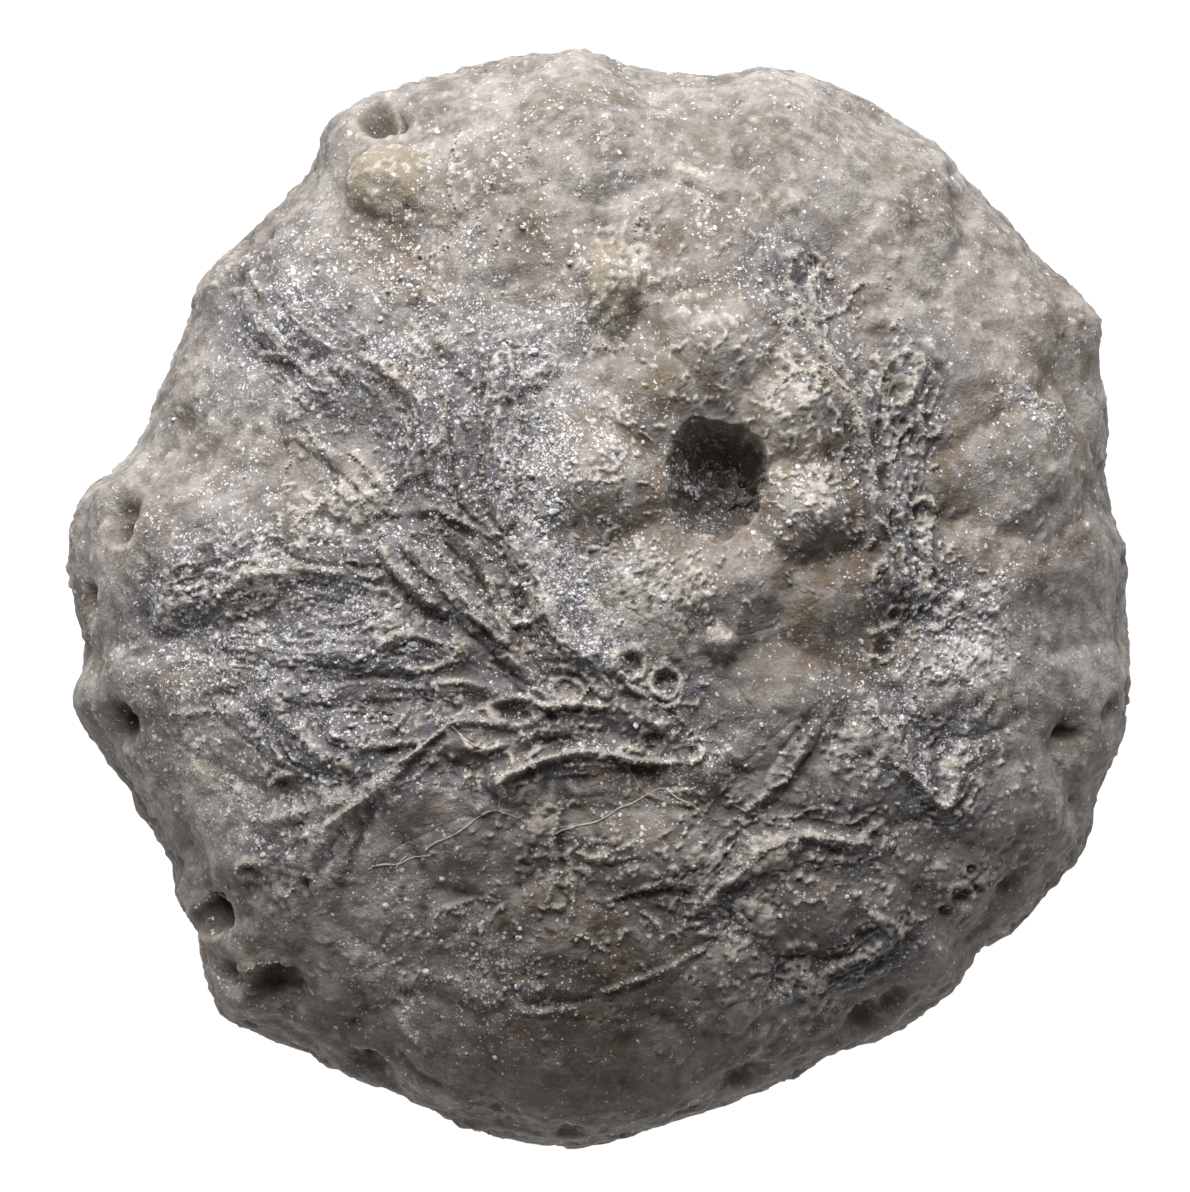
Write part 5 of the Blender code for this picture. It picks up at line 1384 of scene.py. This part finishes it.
@dataclass(frozen=True)
class Stone:
    """The whole calyx as one closed mesh, sunk a little where a finer mesh lies over it."""

    lid_rings: int = 140
    cup_rows: int = 54
    base_rings: int = 70
    base_start: float = 2.25  # polar angle, in radians, where the rings of the base begin
    spacing: float = 0.18
    sunk: float = 0.7
    cavity_reach: float = 0.35
    # The stem recess in the flat base, as (radius, height)
    recess: tuple = ((0, 1.15), (0.8, 0.35), (3.4, 0.35), (3.75, 0.9), (4.7, 0.9), (5.13, 0))

    def build(self, relief: Relief, areas: Sequence[FineArea]) -> bpy.types.Object:
        """Makes the stone.

        Args:
            relief: works out the surface.
            areas: the finer meshes that lie over it.

        Returns:
            The finished piece.
        """
        polar, angle, faces = self.layout()
        points = BODY.shell(polar, angle)
        ground = relief.work(points, self.spacing)
        sink = VENT.sink(points)
        for area in (*areas, VENT):
            sink = np.maximum(sink, self.sunk * rise(area.margin(points), 0.55, 1.5))
        sink *= points[:, 2] > 0
        surface = BODY.raised(points, ground.height - sink)
        radius = np.hypot(surface[:, 0], surface[:, 1])
        floor = np.interp(radius, *zip(*self.recess))
        floor += 0.04 * rise(radius, 9.5, 8.5) * np.abs(ground.ragged)
        flat = (surface[:, 2] < floor) & (points[:, 2] < 0)
        surface[flat, 2] = floor[flat]
        piece = mesh_object("calyx_stone", surface, faces)
        dress(piece, ground, (sink < 0.05) * 1.0, self.cavity_reach)
        return piece

    def layout(self) -> tuple[Array, Array, list[tuple[int, ...]]]:
        """Where the points of the whole body lie, and the faces between them.

        Returns:
            Polar angles from the top, angles from +X, and the faces.
        """
        ring, turn, faces = ring_disc(self.lid_rings)
        polar = BODY.even_polar(0, math.pi / 2, self.lid_rings)[ring]
        angle = 2 * math.pi * turn
        rim = 6 * self.lid_rings
        around = rim // 2
        rim_start, band_start = len(ring) - rim, len(ring)
        rows = BODY.even_polar(math.pi / 2, self.base_start, self.cup_rows)[1:]
        polar = np.concatenate([polar, np.repeat(rows, around)])
        angle = np.concatenate([angle, np.tile(2 * math.pi * np.arange(around) / around, len(rows))])
        for step in range(around):
            a, b, c = (rim_start + (2 * step + n) % rim for n in range(3))
            d, e = band_start + step, band_start + (step + 1) % around
            faces += [(a, d, b), (b, d, e), (b, e, c)]
        for row in range(len(rows) - 1):
            above = band_start + row * around
            for step in range(around):
                a, b = above + step, above + (step + 1) % around
                faces.append((a, a + around, b + around, b))
        # The base's outer ring is the last row of the band
        ring, turn, base_faces = ring_disc(self.base_rings)
        last_row = len(polar) - around
        base_start = len(polar)
        inner = ring < self.base_rings
        base_polar = BODY.even_polar(self.base_start, math.pi, self.base_rings)[::-1][ring]
        polar = np.concatenate([polar, base_polar[inner]])
        angle = np.concatenate([angle, 2 * math.pi * turn[inner]])
        place = np.where(inner, base_start + np.cumsum(inner) - 1, 0)
        outer = np.flatnonzero(~inner)
        place[outer] = last_row + np.arange(len(outer)) * around // len(outer)
        faces += [tuple(int(place[n]) for n in reversed(face)) for face in base_faces]
        return polar, angle, faces


class Value:
    """A node socket that arithmetic can be done on: each operation adds the Math node it needs."""

    def __init__(self, nodes: "Nodes", socket: bpy.types.NodeSocket) -> None:
        """Wraps a socket of one node tree."""
        self.nodes = nodes
        self.socket = socket

    def math(self, operation: str, *others: "Value | float") -> "Value":
        """This value and others, put through a Math node."""
        inputs = dict(enumerate((self, *others)))
        return self.nodes.add("ShaderNodeMath", {"operation": operation}, inputs)

    def __add__(self, other: "Value | float") -> "Value":
        """The sum."""
        return self.math("ADD", other)

    __radd__ = __add__

    def __sub__(self, other: "Value | float") -> "Value":
        """The difference."""
        return self.math("SUBTRACT", other)

    def __rsub__(self, other: float) -> "Value":
        """A number less this value."""
        return self * -1 + other

    def __mul__(self, other: "Value | float") -> "Value":
        """The product."""
        return self.math("MULTIPLY", other)

    __rmul__ = __mul__

    def __pow__(self, power: float) -> "Value":
        """The value raised to a power."""
        return self.math("POWER", power)

    def step(self, low: float, high: float) -> "Value":
        """A smooth step from 0 at low to 1 at high; it falls where low is above high."""
        inputs = {"Value": self, "From Min": low, "From Max": high}
        return self.nodes.add("ShaderNodeMapRange", {"interpolation_type": "SMOOTHSTEP"}, inputs)

    def clip(self) -> "Value":
        """The value held from 0 to 1."""
        return self.nodes.add("ShaderNodeClamp", {}, {"Value": self})


class Nodes:
    """Makes the nodes of one tree, each from its type, its settings and what its sockets take."""

    def __init__(self, tree: bpy.types.NodeTree) -> None:
        """Takes the tree to fill."""
        self.tree = tree

    def add(
        self, kind: str, settings: dict | None = None, inputs: dict | None = None, output: int | str = 0
    ) -> Value:
        """Adds a node.

        Args:
            kind: the node's type.
            settings: its own settings, which are set first.
            inputs: values or links, by the name or the number of the socket.
            output: which output the result stands for.

        Returns:
            The chosen output.
        """
        node = self.tree.nodes.new(kind)
        for name, value in (settings or {}).items():
            setattr(node, name, value)
        for key, value in (inputs or {}).items():
            if isinstance(value, Value):
                self.tree.links.new(value.socket, node.inputs[key])
            else:
                node.inputs[key].default_value = value
        return Value(self, node.outputs[output] if len(node.outputs) else node.inputs[0])

    def beside(self, value: Value, output: str) -> Value:
        """Another output of the node that a value comes from."""
        return Value(self, value.socket.node.outputs[output])

    def mix(self, share: Value, low: "Value | tuple", high: "Value | tuple") -> Value:
        """A colour between two, by a share."""
        settings = {"data_type": "RGBA", "clamp_factor": True}
        return self.add("ShaderNodeMix", settings, {0: share, 6: low, 7: high}, 2)

    def mask(self, mask: Mask) -> Value:
        """One of the mesh's own masks, held from 0 to 1."""
        return self.add("ShaderNodeAttribute", {"attribute_name": mask.value}, {}, "Fac").clip()

    def place(self) -> Value:
        """The point on the object, in millimetres."""
        coordinates = self.add("ShaderNodeTexCoord", {}, {}, "Object")
        inputs = {"Vector": coordinates, "Scale": (1 / MM,) * 3}
        return self.add("ShaderNodeMapping", {"vector_type": "POINT"}, inputs)

    def noise(self, place: Value, scale: float, detail: float = 2.0, roughness: float = 0.5) -> Value:
        """Smooth noise from 0 to 1, with scale lumps to the millimetre."""
        inputs = {"Vector": place, "Scale": scale, "Detail": detail, "Roughness": roughness}
        return self.add("ShaderNodeTexNoise", {}, inputs)

    def bent(self, place: Value, scale: float, reach: float) -> Value:
        """A place moved about by noise, so that round patterns on it turn uneven.

        Args:
            place: the point in millimetres.
            scale: lumps of the noise to the millimetre.
            reach: how far the noise moves the point at most, in millimetres.

        Returns:
            The moved point.
        """
        inputs = {"Vector": place, "Scale": scale, "Detail": 2.0}
        drift = self.add("ShaderNodeTexNoise", {}, inputs, "Color")
        inputs = {0: drift, 1: (reach,) * 3, 2: place}
        return self.add("ShaderNodeVectorMath", {"operation": "MULTIPLY_ADD"}, inputs)


def colour(red: float, green: float, blue: float) -> tuple[float, float, float, float]:
    """An opaque colour."""
    return red, green, blue, 1.0


@dataclass(frozen=True)
class StoneFinish:
    """Weathered limestone: mottled grey-brown, with pale crests that take painted highlights, crevices
    darkened with painted shade, and white dust.
    """

    name: str = "weathered_limestone"
    grey: tuple = colour(0.128, 0.113, 0.103)
    light: tuple = colour(0.380, 0.354, 0.336)
    colony: tuple = colour(0.092, 0.095, 0.118)
    # Brown of real stains and of brown painted shade
    stain_and_shade: tuple = colour(0.150, 0.112, 0.076)
    ochre: tuple = colour(0.262, 0.224, 0.166)
    # Pale of walls and crust, also used for painted highlights on crests
    crest: tuple = colour(0.480, 0.445, 0.395)
    # Blackish brown used for painted shade in crevices and hollows, and for the deeper specks of grain
    crevice: tuple = colour(0.072, 0.058, 0.048)
    dust: tuple = colour(0.440, 0.430, 0.440)
    white: tuple = colour(0.680, 0.685, 0.720)
    roughness: float = 0.80
    bump: float = 0.65
    # Noises, as (lumps to the millimetre, detail, roughness)
    tone: tuple = (0.28, 2.0)
    mottle: tuple = (1.3, 4.0, 0.66)
    grain: tuple = (7.0, 3.0, 0.68)
    blueness: tuple = (2.6, 1.0)
    blotching: tuple = (1.1, 3.0, 0.65)
    breaks: tuple = (4.5, 2.0, 0.6)
    dusting: tuple = (5.0, 4.0, 0.72)
    crowds: tuple = (0.9, 2.0, 0.6)
    lumps: tuple = (3.4, 3.0, 0.62)
    # White specks, as (specks to the millimetre, radius as a share of their spacing)
    specks: tuple = ((3.6, 0.27), (6.0, 0.30), (9.5, 0.33))

    def scatter(self, nodes: Nodes, place: Value, share: Value, scale: float, radius: float) -> Value:
        """Specks of different sizes, one in each cell of a pattern, where the mask lets them show.

        Args:
            nodes: the material's nodes.
            place: the point in millimetres.
            share: how many of the cells hold a speck.
            scale: cells to the millimetre.
            radius: of the largest speck, as a share of a cell.

        Returns:
            A mask of the specks.
        """
        inputs = {"Vector": place, "Scale": scale, "Randomness": 1.0}
        gap = nodes.add("ShaderNodeTexVoronoi", {}, inputs, "Distance")
        part = nodes.add("ShaderNodeSeparateColor", {}, {"Color": nodes.beside(gap, "Color")}, "Red")
        size = nodes.beside(part, "Green")
        chosen = (share - part).step(0.0, 0.06)
        return (gap * (1.6 - size)).step(radius, radius * 0.6) * chosen

    def material(self) -> bpy.types.Material:
        """Makes the material."""
        material = bpy.data.materials.new(self.name)
        material.use_nodes = True
        tree = material.node_tree
        nodes = Nodes(tree)
        shader = tree.nodes["Principled BSDF"]
        place = nodes.place()
        colony, pale, shade_mask = (nodes.mask(mask) for mask in (Mask.COLONY, Mask.PALE, Mask.DARK))
        cavity = nodes.add("ShaderNodeAttribute", {"attribute_name": Mask.CAVITY.value}, {}, "Fac")

        broad = nodes.noise(place, *self.tone).step(0.35, 0.68)
        patchy = nodes.noise(place, *self.mottle).step(0.36, 0.64)
        grain = nodes.noise(place, *self.grain)
        base = nodes.mix(broad * 0.40 + patchy * 0.60, self.grey, self.light)
        blue = colony * (0.55 + 0.40 * nodes.noise(place, *self.blueness).step(0.40, 0.62))
        base = nodes.mix(blue, base, self.colony)
        blotches = nodes.noise(place, *self.blotching)
        # Brown from the mask, which holds stains and brown painted shade, broken up in blotches, and a few
        # stains of its own
        stain_and_shade = nodes.mask(Mask.BROWN) * blotches.step(0.32, 0.60) + blotches.step(0.52, 0.72) * 0.4
        base = nodes.mix(stain_and_shade * 0.85, base, self.stain_and_shade)
        base = nodes.mix(nodes.mask(Mask.OCHRE) * 0.85, base, self.ochre)
        broken = nodes.noise(place, *self.breaks).step(0.36, 0.60)
        # Pale walls and crust, and painted highlights along every crest of the mesh
        raised = (pale * (0.32 + 0.60 * broken) + cavity.step(0.15, 1.0) * 0.28).clip()
        base = nodes.mix(raised, base, self.crest)
        # Painted shade in grooves, pits and every hollow of the mesh
        painted_shade = (shade_mask * 0.75 + cavity.step(-0.15, -1.0) * (0.36 + 0.20 * colony)).clip()
        base = nodes.mix(painted_shade, base, self.crevice)
        base = nodes.mix(grain.step(0.47, 0.20) * (0.30 + 0.14 * colony), base, self.crevice)
        base = nodes.mix(grain.step(0.53, 0.80) * (0.30 + 0.14 * colony), base, self.crest)
        dusty = (nodes.noise(place, *self.dusting) + 0.12 * nodes.mask(Mask.SPECKS)).step(0.62, 0.72)
        base = nodes.mix(dusty * 0.50, base, self.dust)
        uneven = nodes.bent(place, 6.0, 0.22)
        crowded = nodes.mask(Mask.SPECKS) * (nodes.noise(place, *self.crowds).step(0.40, 0.62) * 1.5 + 0.3)
        white = sum(self.scatter(nodes, uneven, crowded, *speck) for speck in self.specks).clip()
        base = nodes.mix(white * 0.85, base, self.white)
        tree.links.new(base.socket, shader.inputs["Base Color"])

        rough = (self.roughness - 0.12 * patchy * colony + 0.10 * dusty).clip()
        tree.links.new(rough.socket, shader.inputs["Roughness"])
        shader.inputs["Specular IOR Level"].default_value = 0.4

        lumps = nodes.noise(place, *self.lumps)
        relief = lumps * (0.10 + 0.08 * colony) + grain * 0.10
        inputs = {"Strength": self.bump, "Distance": MM, "Height": relief}
        bump = nodes.add("ShaderNodeBump", {}, inputs)
        tree.links.new(bump.socket, shader.inputs["Normal"])
        return material


@dataclass(frozen=True)
class GrainFinish:
    """Plain mineral grains, whose colour wanders between two from one grain to the next."""

    name: str
    low: tuple
    high: tuple
    scale: float = 2.5
    roughness: float = 0.7
    bump: float = 0.8
    grain: tuple = (14.0, 3.0, 0.65)  # lumps to the millimetre, detail, roughness

    def material(self) -> bpy.types.Material:
        """Makes the material."""
        material = bpy.data.materials.new(self.name)
        material.use_nodes = True
        tree = material.node_tree
        nodes = Nodes(tree)
        shader = tree.nodes["Principled BSDF"]
        place = nodes.place()
        share = nodes.noise(place, self.scale, 4.0, 0.7).step(0.35, 0.65)
        base = nodes.mix(share, self.low, self.high)
        tree.links.new(base.socket, shader.inputs["Base Color"])
        shader.inputs["Roughness"].default_value = self.roughness
        relief = nodes.noise(place, *self.grain) * 0.04
        inputs = {"Strength": self.bump, "Distance": MM, "Height": relief}
        bump = nodes.add("ShaderNodeBump", {}, inputs)
        tree.links.new(bump.socket, shader.inputs["Normal"])
        return material


STONE = StoneFinish()
WHITE_GRIT = GrainFinish("white_grit", colour(0.34, 0.34, 0.35), colour(0.66, 0.67, 0.70))
PALE_CRUST = GrainFinish("pale_crust", colour(0.21, 0.195, 0.175), colour(0.48, 0.445, 0.395), 2.8)


class Recipe(Nodes):
    """A Geometry Nodes tree with named inputs, run once on a piece to make a plain mesh from it."""

    def __init__(self, name: str, sizes: dict[str, float]) -> None:
        """Starts the tree, with an input for the geometry and one for each named size."""
        super().__init__(bpy.data.node_groups.new(name, "GeometryNodeTree"))
        sockets = self.tree.interface
        sockets.new_socket("Geometry", in_out="INPUT", socket_type="NodeSocketGeometry")
        sockets.new_socket("Geometry", in_out="OUTPUT", socket_type="NodeSocketGeometry")
        self.sizes = {}
        for size, value in sizes.items():
            socket = sockets.new_socket(size, in_out="INPUT", socket_type="NodeSocketFloat")
            self.sizes[socket.identifier] = value
        self.inputs = self.tree.nodes.new("NodeGroupInput").outputs

    def given(self, name: str) -> Value:
        """What one of the tree's own inputs gives."""
        return Value(self, self.inputs[name])

    def draw(self, low: float, high: float, seed: int) -> Value:
        """A random number for each point."""
        settings = {"data_type": "FLOAT"}
        return self.add("FunctionNodeRandomValue", settings, {2: low, 3: high, "Seed": seed}, 1)

    def draw_vector(self, low: float, high: float, seed: int) -> Value:
        """A random vector for each point, each of whose parts lies between two numbers."""
        settings = {"data_type": "FLOAT_VECTOR"}
        inputs = {0: (low,) * 3, 1: (high,) * 3, "Seed": seed}
        return self.add("FunctionNodeRandomValue", settings, inputs, 0)

    def grains(self, points: Value, seed: int) -> Value:
        """Sets an angular grain on each point, turned and stretched at random.

        Args:
            points: the points.
            seed: makes each recipe's grains differ.

        Returns:
            The grains, as instances; few are near the Largest input, and most near the Smallest.
        """
        smallest, largest = self.given("Smallest"), self.given("Largest")
        size = smallest + (largest - smallest) * self.draw(0, 1, seed) ** 2.5
        stretch = self.draw_vector(0.6, 1.4, seed + 1)
        scale = self.add("ShaderNodeVectorMath", {"operation": "SCALE"}, {0: stretch, "Scale": size})
        grain = self.add("GeometryNodeMeshIcoSphere", {}, {"Radius": 1.0, "Subdivisions": 1}, "Mesh")
        turn = self.draw_vector(0, 2 * math.pi, seed + 2)
        inputs = {"Points": points, "Instance": grain, "Rotation": turn, "Scale": scale}
        return self.add("GeometryNodeInstanceOnPoints", {}, inputs)

    def end(self, geometry: Value, material: bpy.types.Material) -> None:
        """Ends the tree: instances become real, and take the material."""
        real = self.add("GeometryNodeRealizeInstances", {}, {"Geometry": geometry})
        done = self.add("GeometryNodeSetMaterial", {}, {"Geometry": real, "Material": material})
        self.add("NodeGroupOutput", {}, {0: done})

    def run(self, piece: bpy.types.Object) -> bpy.types.Mesh:
        """Runs the tree on a piece, and takes it off again.

        Args:
            piece: the object whose mesh the tree starts from.

        Returns:
            The mesh that it makes.
        """
        modifier = piece.modifiers.new(self.tree.name, "NODES")
        modifier.node_group = self.tree
        for identifier, value in self.sizes.items():
            modifier[identifier] = value
        evaluated = piece.evaluated_get(bpy.context.evaluated_depsgraph_get())
        mesh = bpy.data.meshes.new_from_object(evaluated)
        piece.modifiers.remove(modifier)
        return mesh


@dataclass(frozen=True)
class Grit:
    """White grit stuck on the surfaces, more where their own mask says."""

    density: float = 3e7  # grains to the square metre, where the mask is full
    smallest: float = 0.032
    largest: float = 0.13
    seed: int = 4
    grain_seed: int = 11

    def build(self, pieces: Sequence[bpy.types.Object]) -> bpy.types.Object:
        """Sticks the grit on.

        Args:
            pieces: the surfaces that it sticks to.

        Returns:
            All the grit, as one piece.
        """
        sizes = {"Density": self.density, "Smallest": self.smallest * MM, "Largest": self.largest * MM}
        recipe = Recipe("grit", sizes)
        inputs = {"Name": Mask.GRIT.value}
        mask = recipe.add("GeometryNodeInputNamedAttribute", {"data_type": "FLOAT"}, inputs)
        density = recipe.given("Density") * mask
        inputs = {"Mesh": recipe.given("Geometry"), "Density": density, "Seed": self.seed}
        points = recipe.add("GeometryNodeDistributePointsOnFaces", {}, inputs, "Points")
        recipe.end(recipe.grains(points, self.grain_seed), WHITE_GRIT.material())
        bm = bmesh.new()
        for piece in pieces:
            mesh = recipe.run(piece)
            bm.from_mesh(mesh)
        bm.to_mesh(mesh)
        bm.free()
        mesh.name = "grit"
        grit = bpy.data.objects.new("grit", mesh)
        bpy.context.scene.collection.objects.link(grit)
        return grit


@dataclass(frozen=True)
class WallCrust:
    """Small lumps of crust along every wall, which make its crest uneven."""

    spacing: float = 0.09
    start: float = 0.05  # of the first crumb, from the wall's end
    shift: float = 0.04  # of a wall's whole row of crumbs, either way
    scatter: float = 0.05
    smallest: float = 0.035
    largest: float = 0.09
    detail: float = 0.07  # the spacing that the ground under the crumbs is worked out for
    steps: int = 12  # pieces that each stretch of a wall is cut into
    seed: int = 8
    grain_seed: int = 21

    def build(self, relief: Relief) -> bpy.types.Object:
        """Sets the crumbs along the walls.

        Args:
            relief: gives the height of the ground.

        Returns:
            The crust, as one piece.
        """
        rng = np.random.default_rng(self.seed)
        spots = []
        for wall in WALLS:
            line = smooth_line(plan(wall.route), self.steps)
            gaps = np.linalg.norm(np.diff(line, axis=0), axis=1)
            along = np.concatenate([[0], np.cumsum(gaps)])
            at = np.arange(self.start, along[-1], self.spacing) + rng.uniform(-self.shift, self.shift)
            spots += [(np.interp(s, along, line[:, 0]), np.interp(s, along, line[:, 1])) for s in at]
        spots = np.array(spots) + rng.normal(0, self.scatter, (len(spots), 2))
        points = BODY.lid(*spots.T)
        ground = relief.work(points, self.detail)
        kept = ground.worn > WORN_AWAY
        piece = mesh_object("wall_crust", BODY.raised(points, ground.height)[kept])
        recipe = Recipe("wall_crust", {"Smallest": self.smallest * MM, "Largest": self.largest * MM})
        recipe.end(recipe.grains(recipe.given("Geometry"), self.grain_seed), PALE_CRUST.material())
        piece.data = recipe.run(piece)
        return piece


@dataclass(frozen=True)
class Veins:
    """The thin veins over the plates, as round cords of uneven width."""

    radius: float = 0.042
    uneven: tuple = (0.6, 1.3)  # the least and the most share of the radius
    sides: int = 7
    detail: float = 0.08  # the spacing that the ground under the veins is worked out for
    steps: int = 8  # pieces that each stretch of a vein is cut into
    seed: int = 3

    def build(self, relief: Relief) -> bpy.types.Object:
        """Lays the veins over the stone.

        Args:
            relief: gives the height of the ground.

        Returns:
            The veins, as one piece.
        """
        lines = [smooth_line(plan(route), self.steps) for route in VEINS]
        points = np.vstack(lines)
        starts = np.cumsum([0] + [len(line) for line in lines])
        edges = [(n, n + 1) for a, b in zip(starts, starts[1:]) for n in range(a, b - 1)]
        ground = relief.work(points, self.detail)
        piece = mesh_object("veins", BODY.raised(points, ground.height), edges=edges)
        recipe = Recipe("veins", {"Radius": self.radius * MM})
        curve = recipe.add("GeometryNodeMeshToCurve", {}, {"Mesh": recipe.given("Geometry")})
        radius = recipe.given("Radius") * recipe.draw(*self.uneven, self.seed)
        inputs = {"Resolution": self.sides, "Radius": 1.0}
        ring = recipe.add("GeometryNodeCurvePrimitiveCircle", {}, inputs, "Curve")
        inputs = {"Curve": curve, "Profile Curve": ring, "Scale": radius, "Fill Caps": True}
        recipe.end(recipe.add("GeometryNodeCurveToMesh", {}, inputs), PALE_CRUST.material())
        piece.data = recipe.run(piece)
        return piece


@dataclass(frozen=True)
class Studio:
    """A pale floor, one large soft light low beyond the lid, a little light from all round, a camera."""

    camera_height: float = 600.0
    light_elevation: float = 35.0
    light_distance: float = 400.0
    light_size: float = 450.0
    light_power: float = 4.0
    sky: float = 0.09
    floor_reach: float = 3000.0
    floor_gap: float = 0.05  # between the floor and what stands on it
    floor_glow: float = 1.0
    camera_range: tuple = (10.0, 10000.0)  # the nearest and the farthest that the camera shows

    def build(self) -> None:
        """Makes the floor, the light, the sky and the camera."""
        self.floor()
        self.light()
        self.camera()

    def floor(self) -> None:
        """A wide pale floor that glows, as paper does on a light table."""
        mesh = bpy.data.meshes.new("floor")
        bm = bmesh.new()
        bmesh.ops.create_grid(bm, x_segments=1, y_segments=1, size=self.floor_reach * MM)
        bm.to_mesh(mesh)
        bm.free()
        floor = bpy.data.objects.new("floor", mesh)
        bpy.context.scene.collection.objects.link(floor)
        floor.location.z = -self.floor_gap * MM
        material = bpy.data.materials.new("pale_paper")
        material.use_nodes = True
        shader = material.node_tree.nodes["Principled BSDF"]
        shader.inputs["Base Color"].default_value = colour(0.1, 0.1, 0.1)
        shader.inputs["Roughness"].default_value = 0.9
        shader.inputs["Specular IOR Level"].default_value = 0.0
        shader.inputs["Emission Color"].default_value = colour(1.0, 1.0, 1.0)
        shader.inputs["Emission Strength"].default_value = self.floor_glow
        mesh.materials.append(material)

    def light(self) -> None:
        """The soft key light beyond +Y, and an even dim sky."""
        data = bpy.data.lights.new("key", "AREA")
        data.shape = "DISK"
        data.size = self.light_size * MM
        data.energy = self.light_power
        data.color = (1.0, 0.985, 0.965)
        key = bpy.data.objects.new("key", data)
        bpy.context.scene.collection.objects.link(key)
        elevation = math.radians(self.light_elevation)
        way = Vector((-0.10, math.cos(elevation), math.sin(elevation))).normalized()
        target = Vector((0, 0, BODY.cup_depth * MM))
        key.location = target + way * self.light_distance * MM
        key.rotation_euler = way.to_track_quat("Z", "Y").to_euler()
        world = bpy.data.worlds.new("dim_room")
        bpy.context.scene.world = world
        world.use_nodes = True
        world.node_tree.nodes["Background"].inputs["Color"].default_value = colour(0.96, 0.97, 1.0)
        world.node_tree.nodes["Background"].inputs["Strength"].default_value = self.sky

    def camera(self) -> None:
        """A long lens straight above that takes in the whole chart, with +Y up."""
        data = bpy.data.cameras.new("camera")
        camera = bpy.data.objects.new("camera", data)
        bpy.context.scene.collection.objects.link(camera)
        x, y = plan(CHART_SIZE) / 2 + plan((0, 0)) / 2
        camera.location = (x * MM, y * MM, self.camera_height * MM)
        reach = self.camera_height - BODY.cup_depth
        data.lens = data.sensor_width * reach / (max(CHART_SIZE) / CHART_STEPS)
        data.clip_start, data.clip_end = (limit * MM for limit in self.camera_range)
        bpy.context.scene.camera = camera
        bpy.context.scene.view_settings.view_transform = "Standard"


def main() -> None:
    """Builds the pieces in order, dresses them and sets up the studio."""
    logging.basicConfig(level=logging.INFO, format="%(message)s")
    coarse = 1.0
    relief = Relief()
    areas = [FineArea(name, spacing * coarse, outline) for name, (spacing, outline) in FINE_AREAS.items()]
    limestone = STONE.material()
    stone = Stone().build(relief, areas)
    surfaces = [stone, VENT.build(relief, coarse)]
    surfaces += [area.build(relief) for area in areas]
    for surface in surfaces:
        surface.data.materials.append(limestone)
    pieces = [*surfaces, Grit().build(surfaces), WallCrust().build(relief), Veins().build(relief)]
    for piece in pieces:
        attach(piece, BODY_NAME)
        LOG.info("%s: %d faces", piece.name, len(piece.data.polygons))
    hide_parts(NODE)
    Studio().build()


if __name__ == "__main__":
    main()
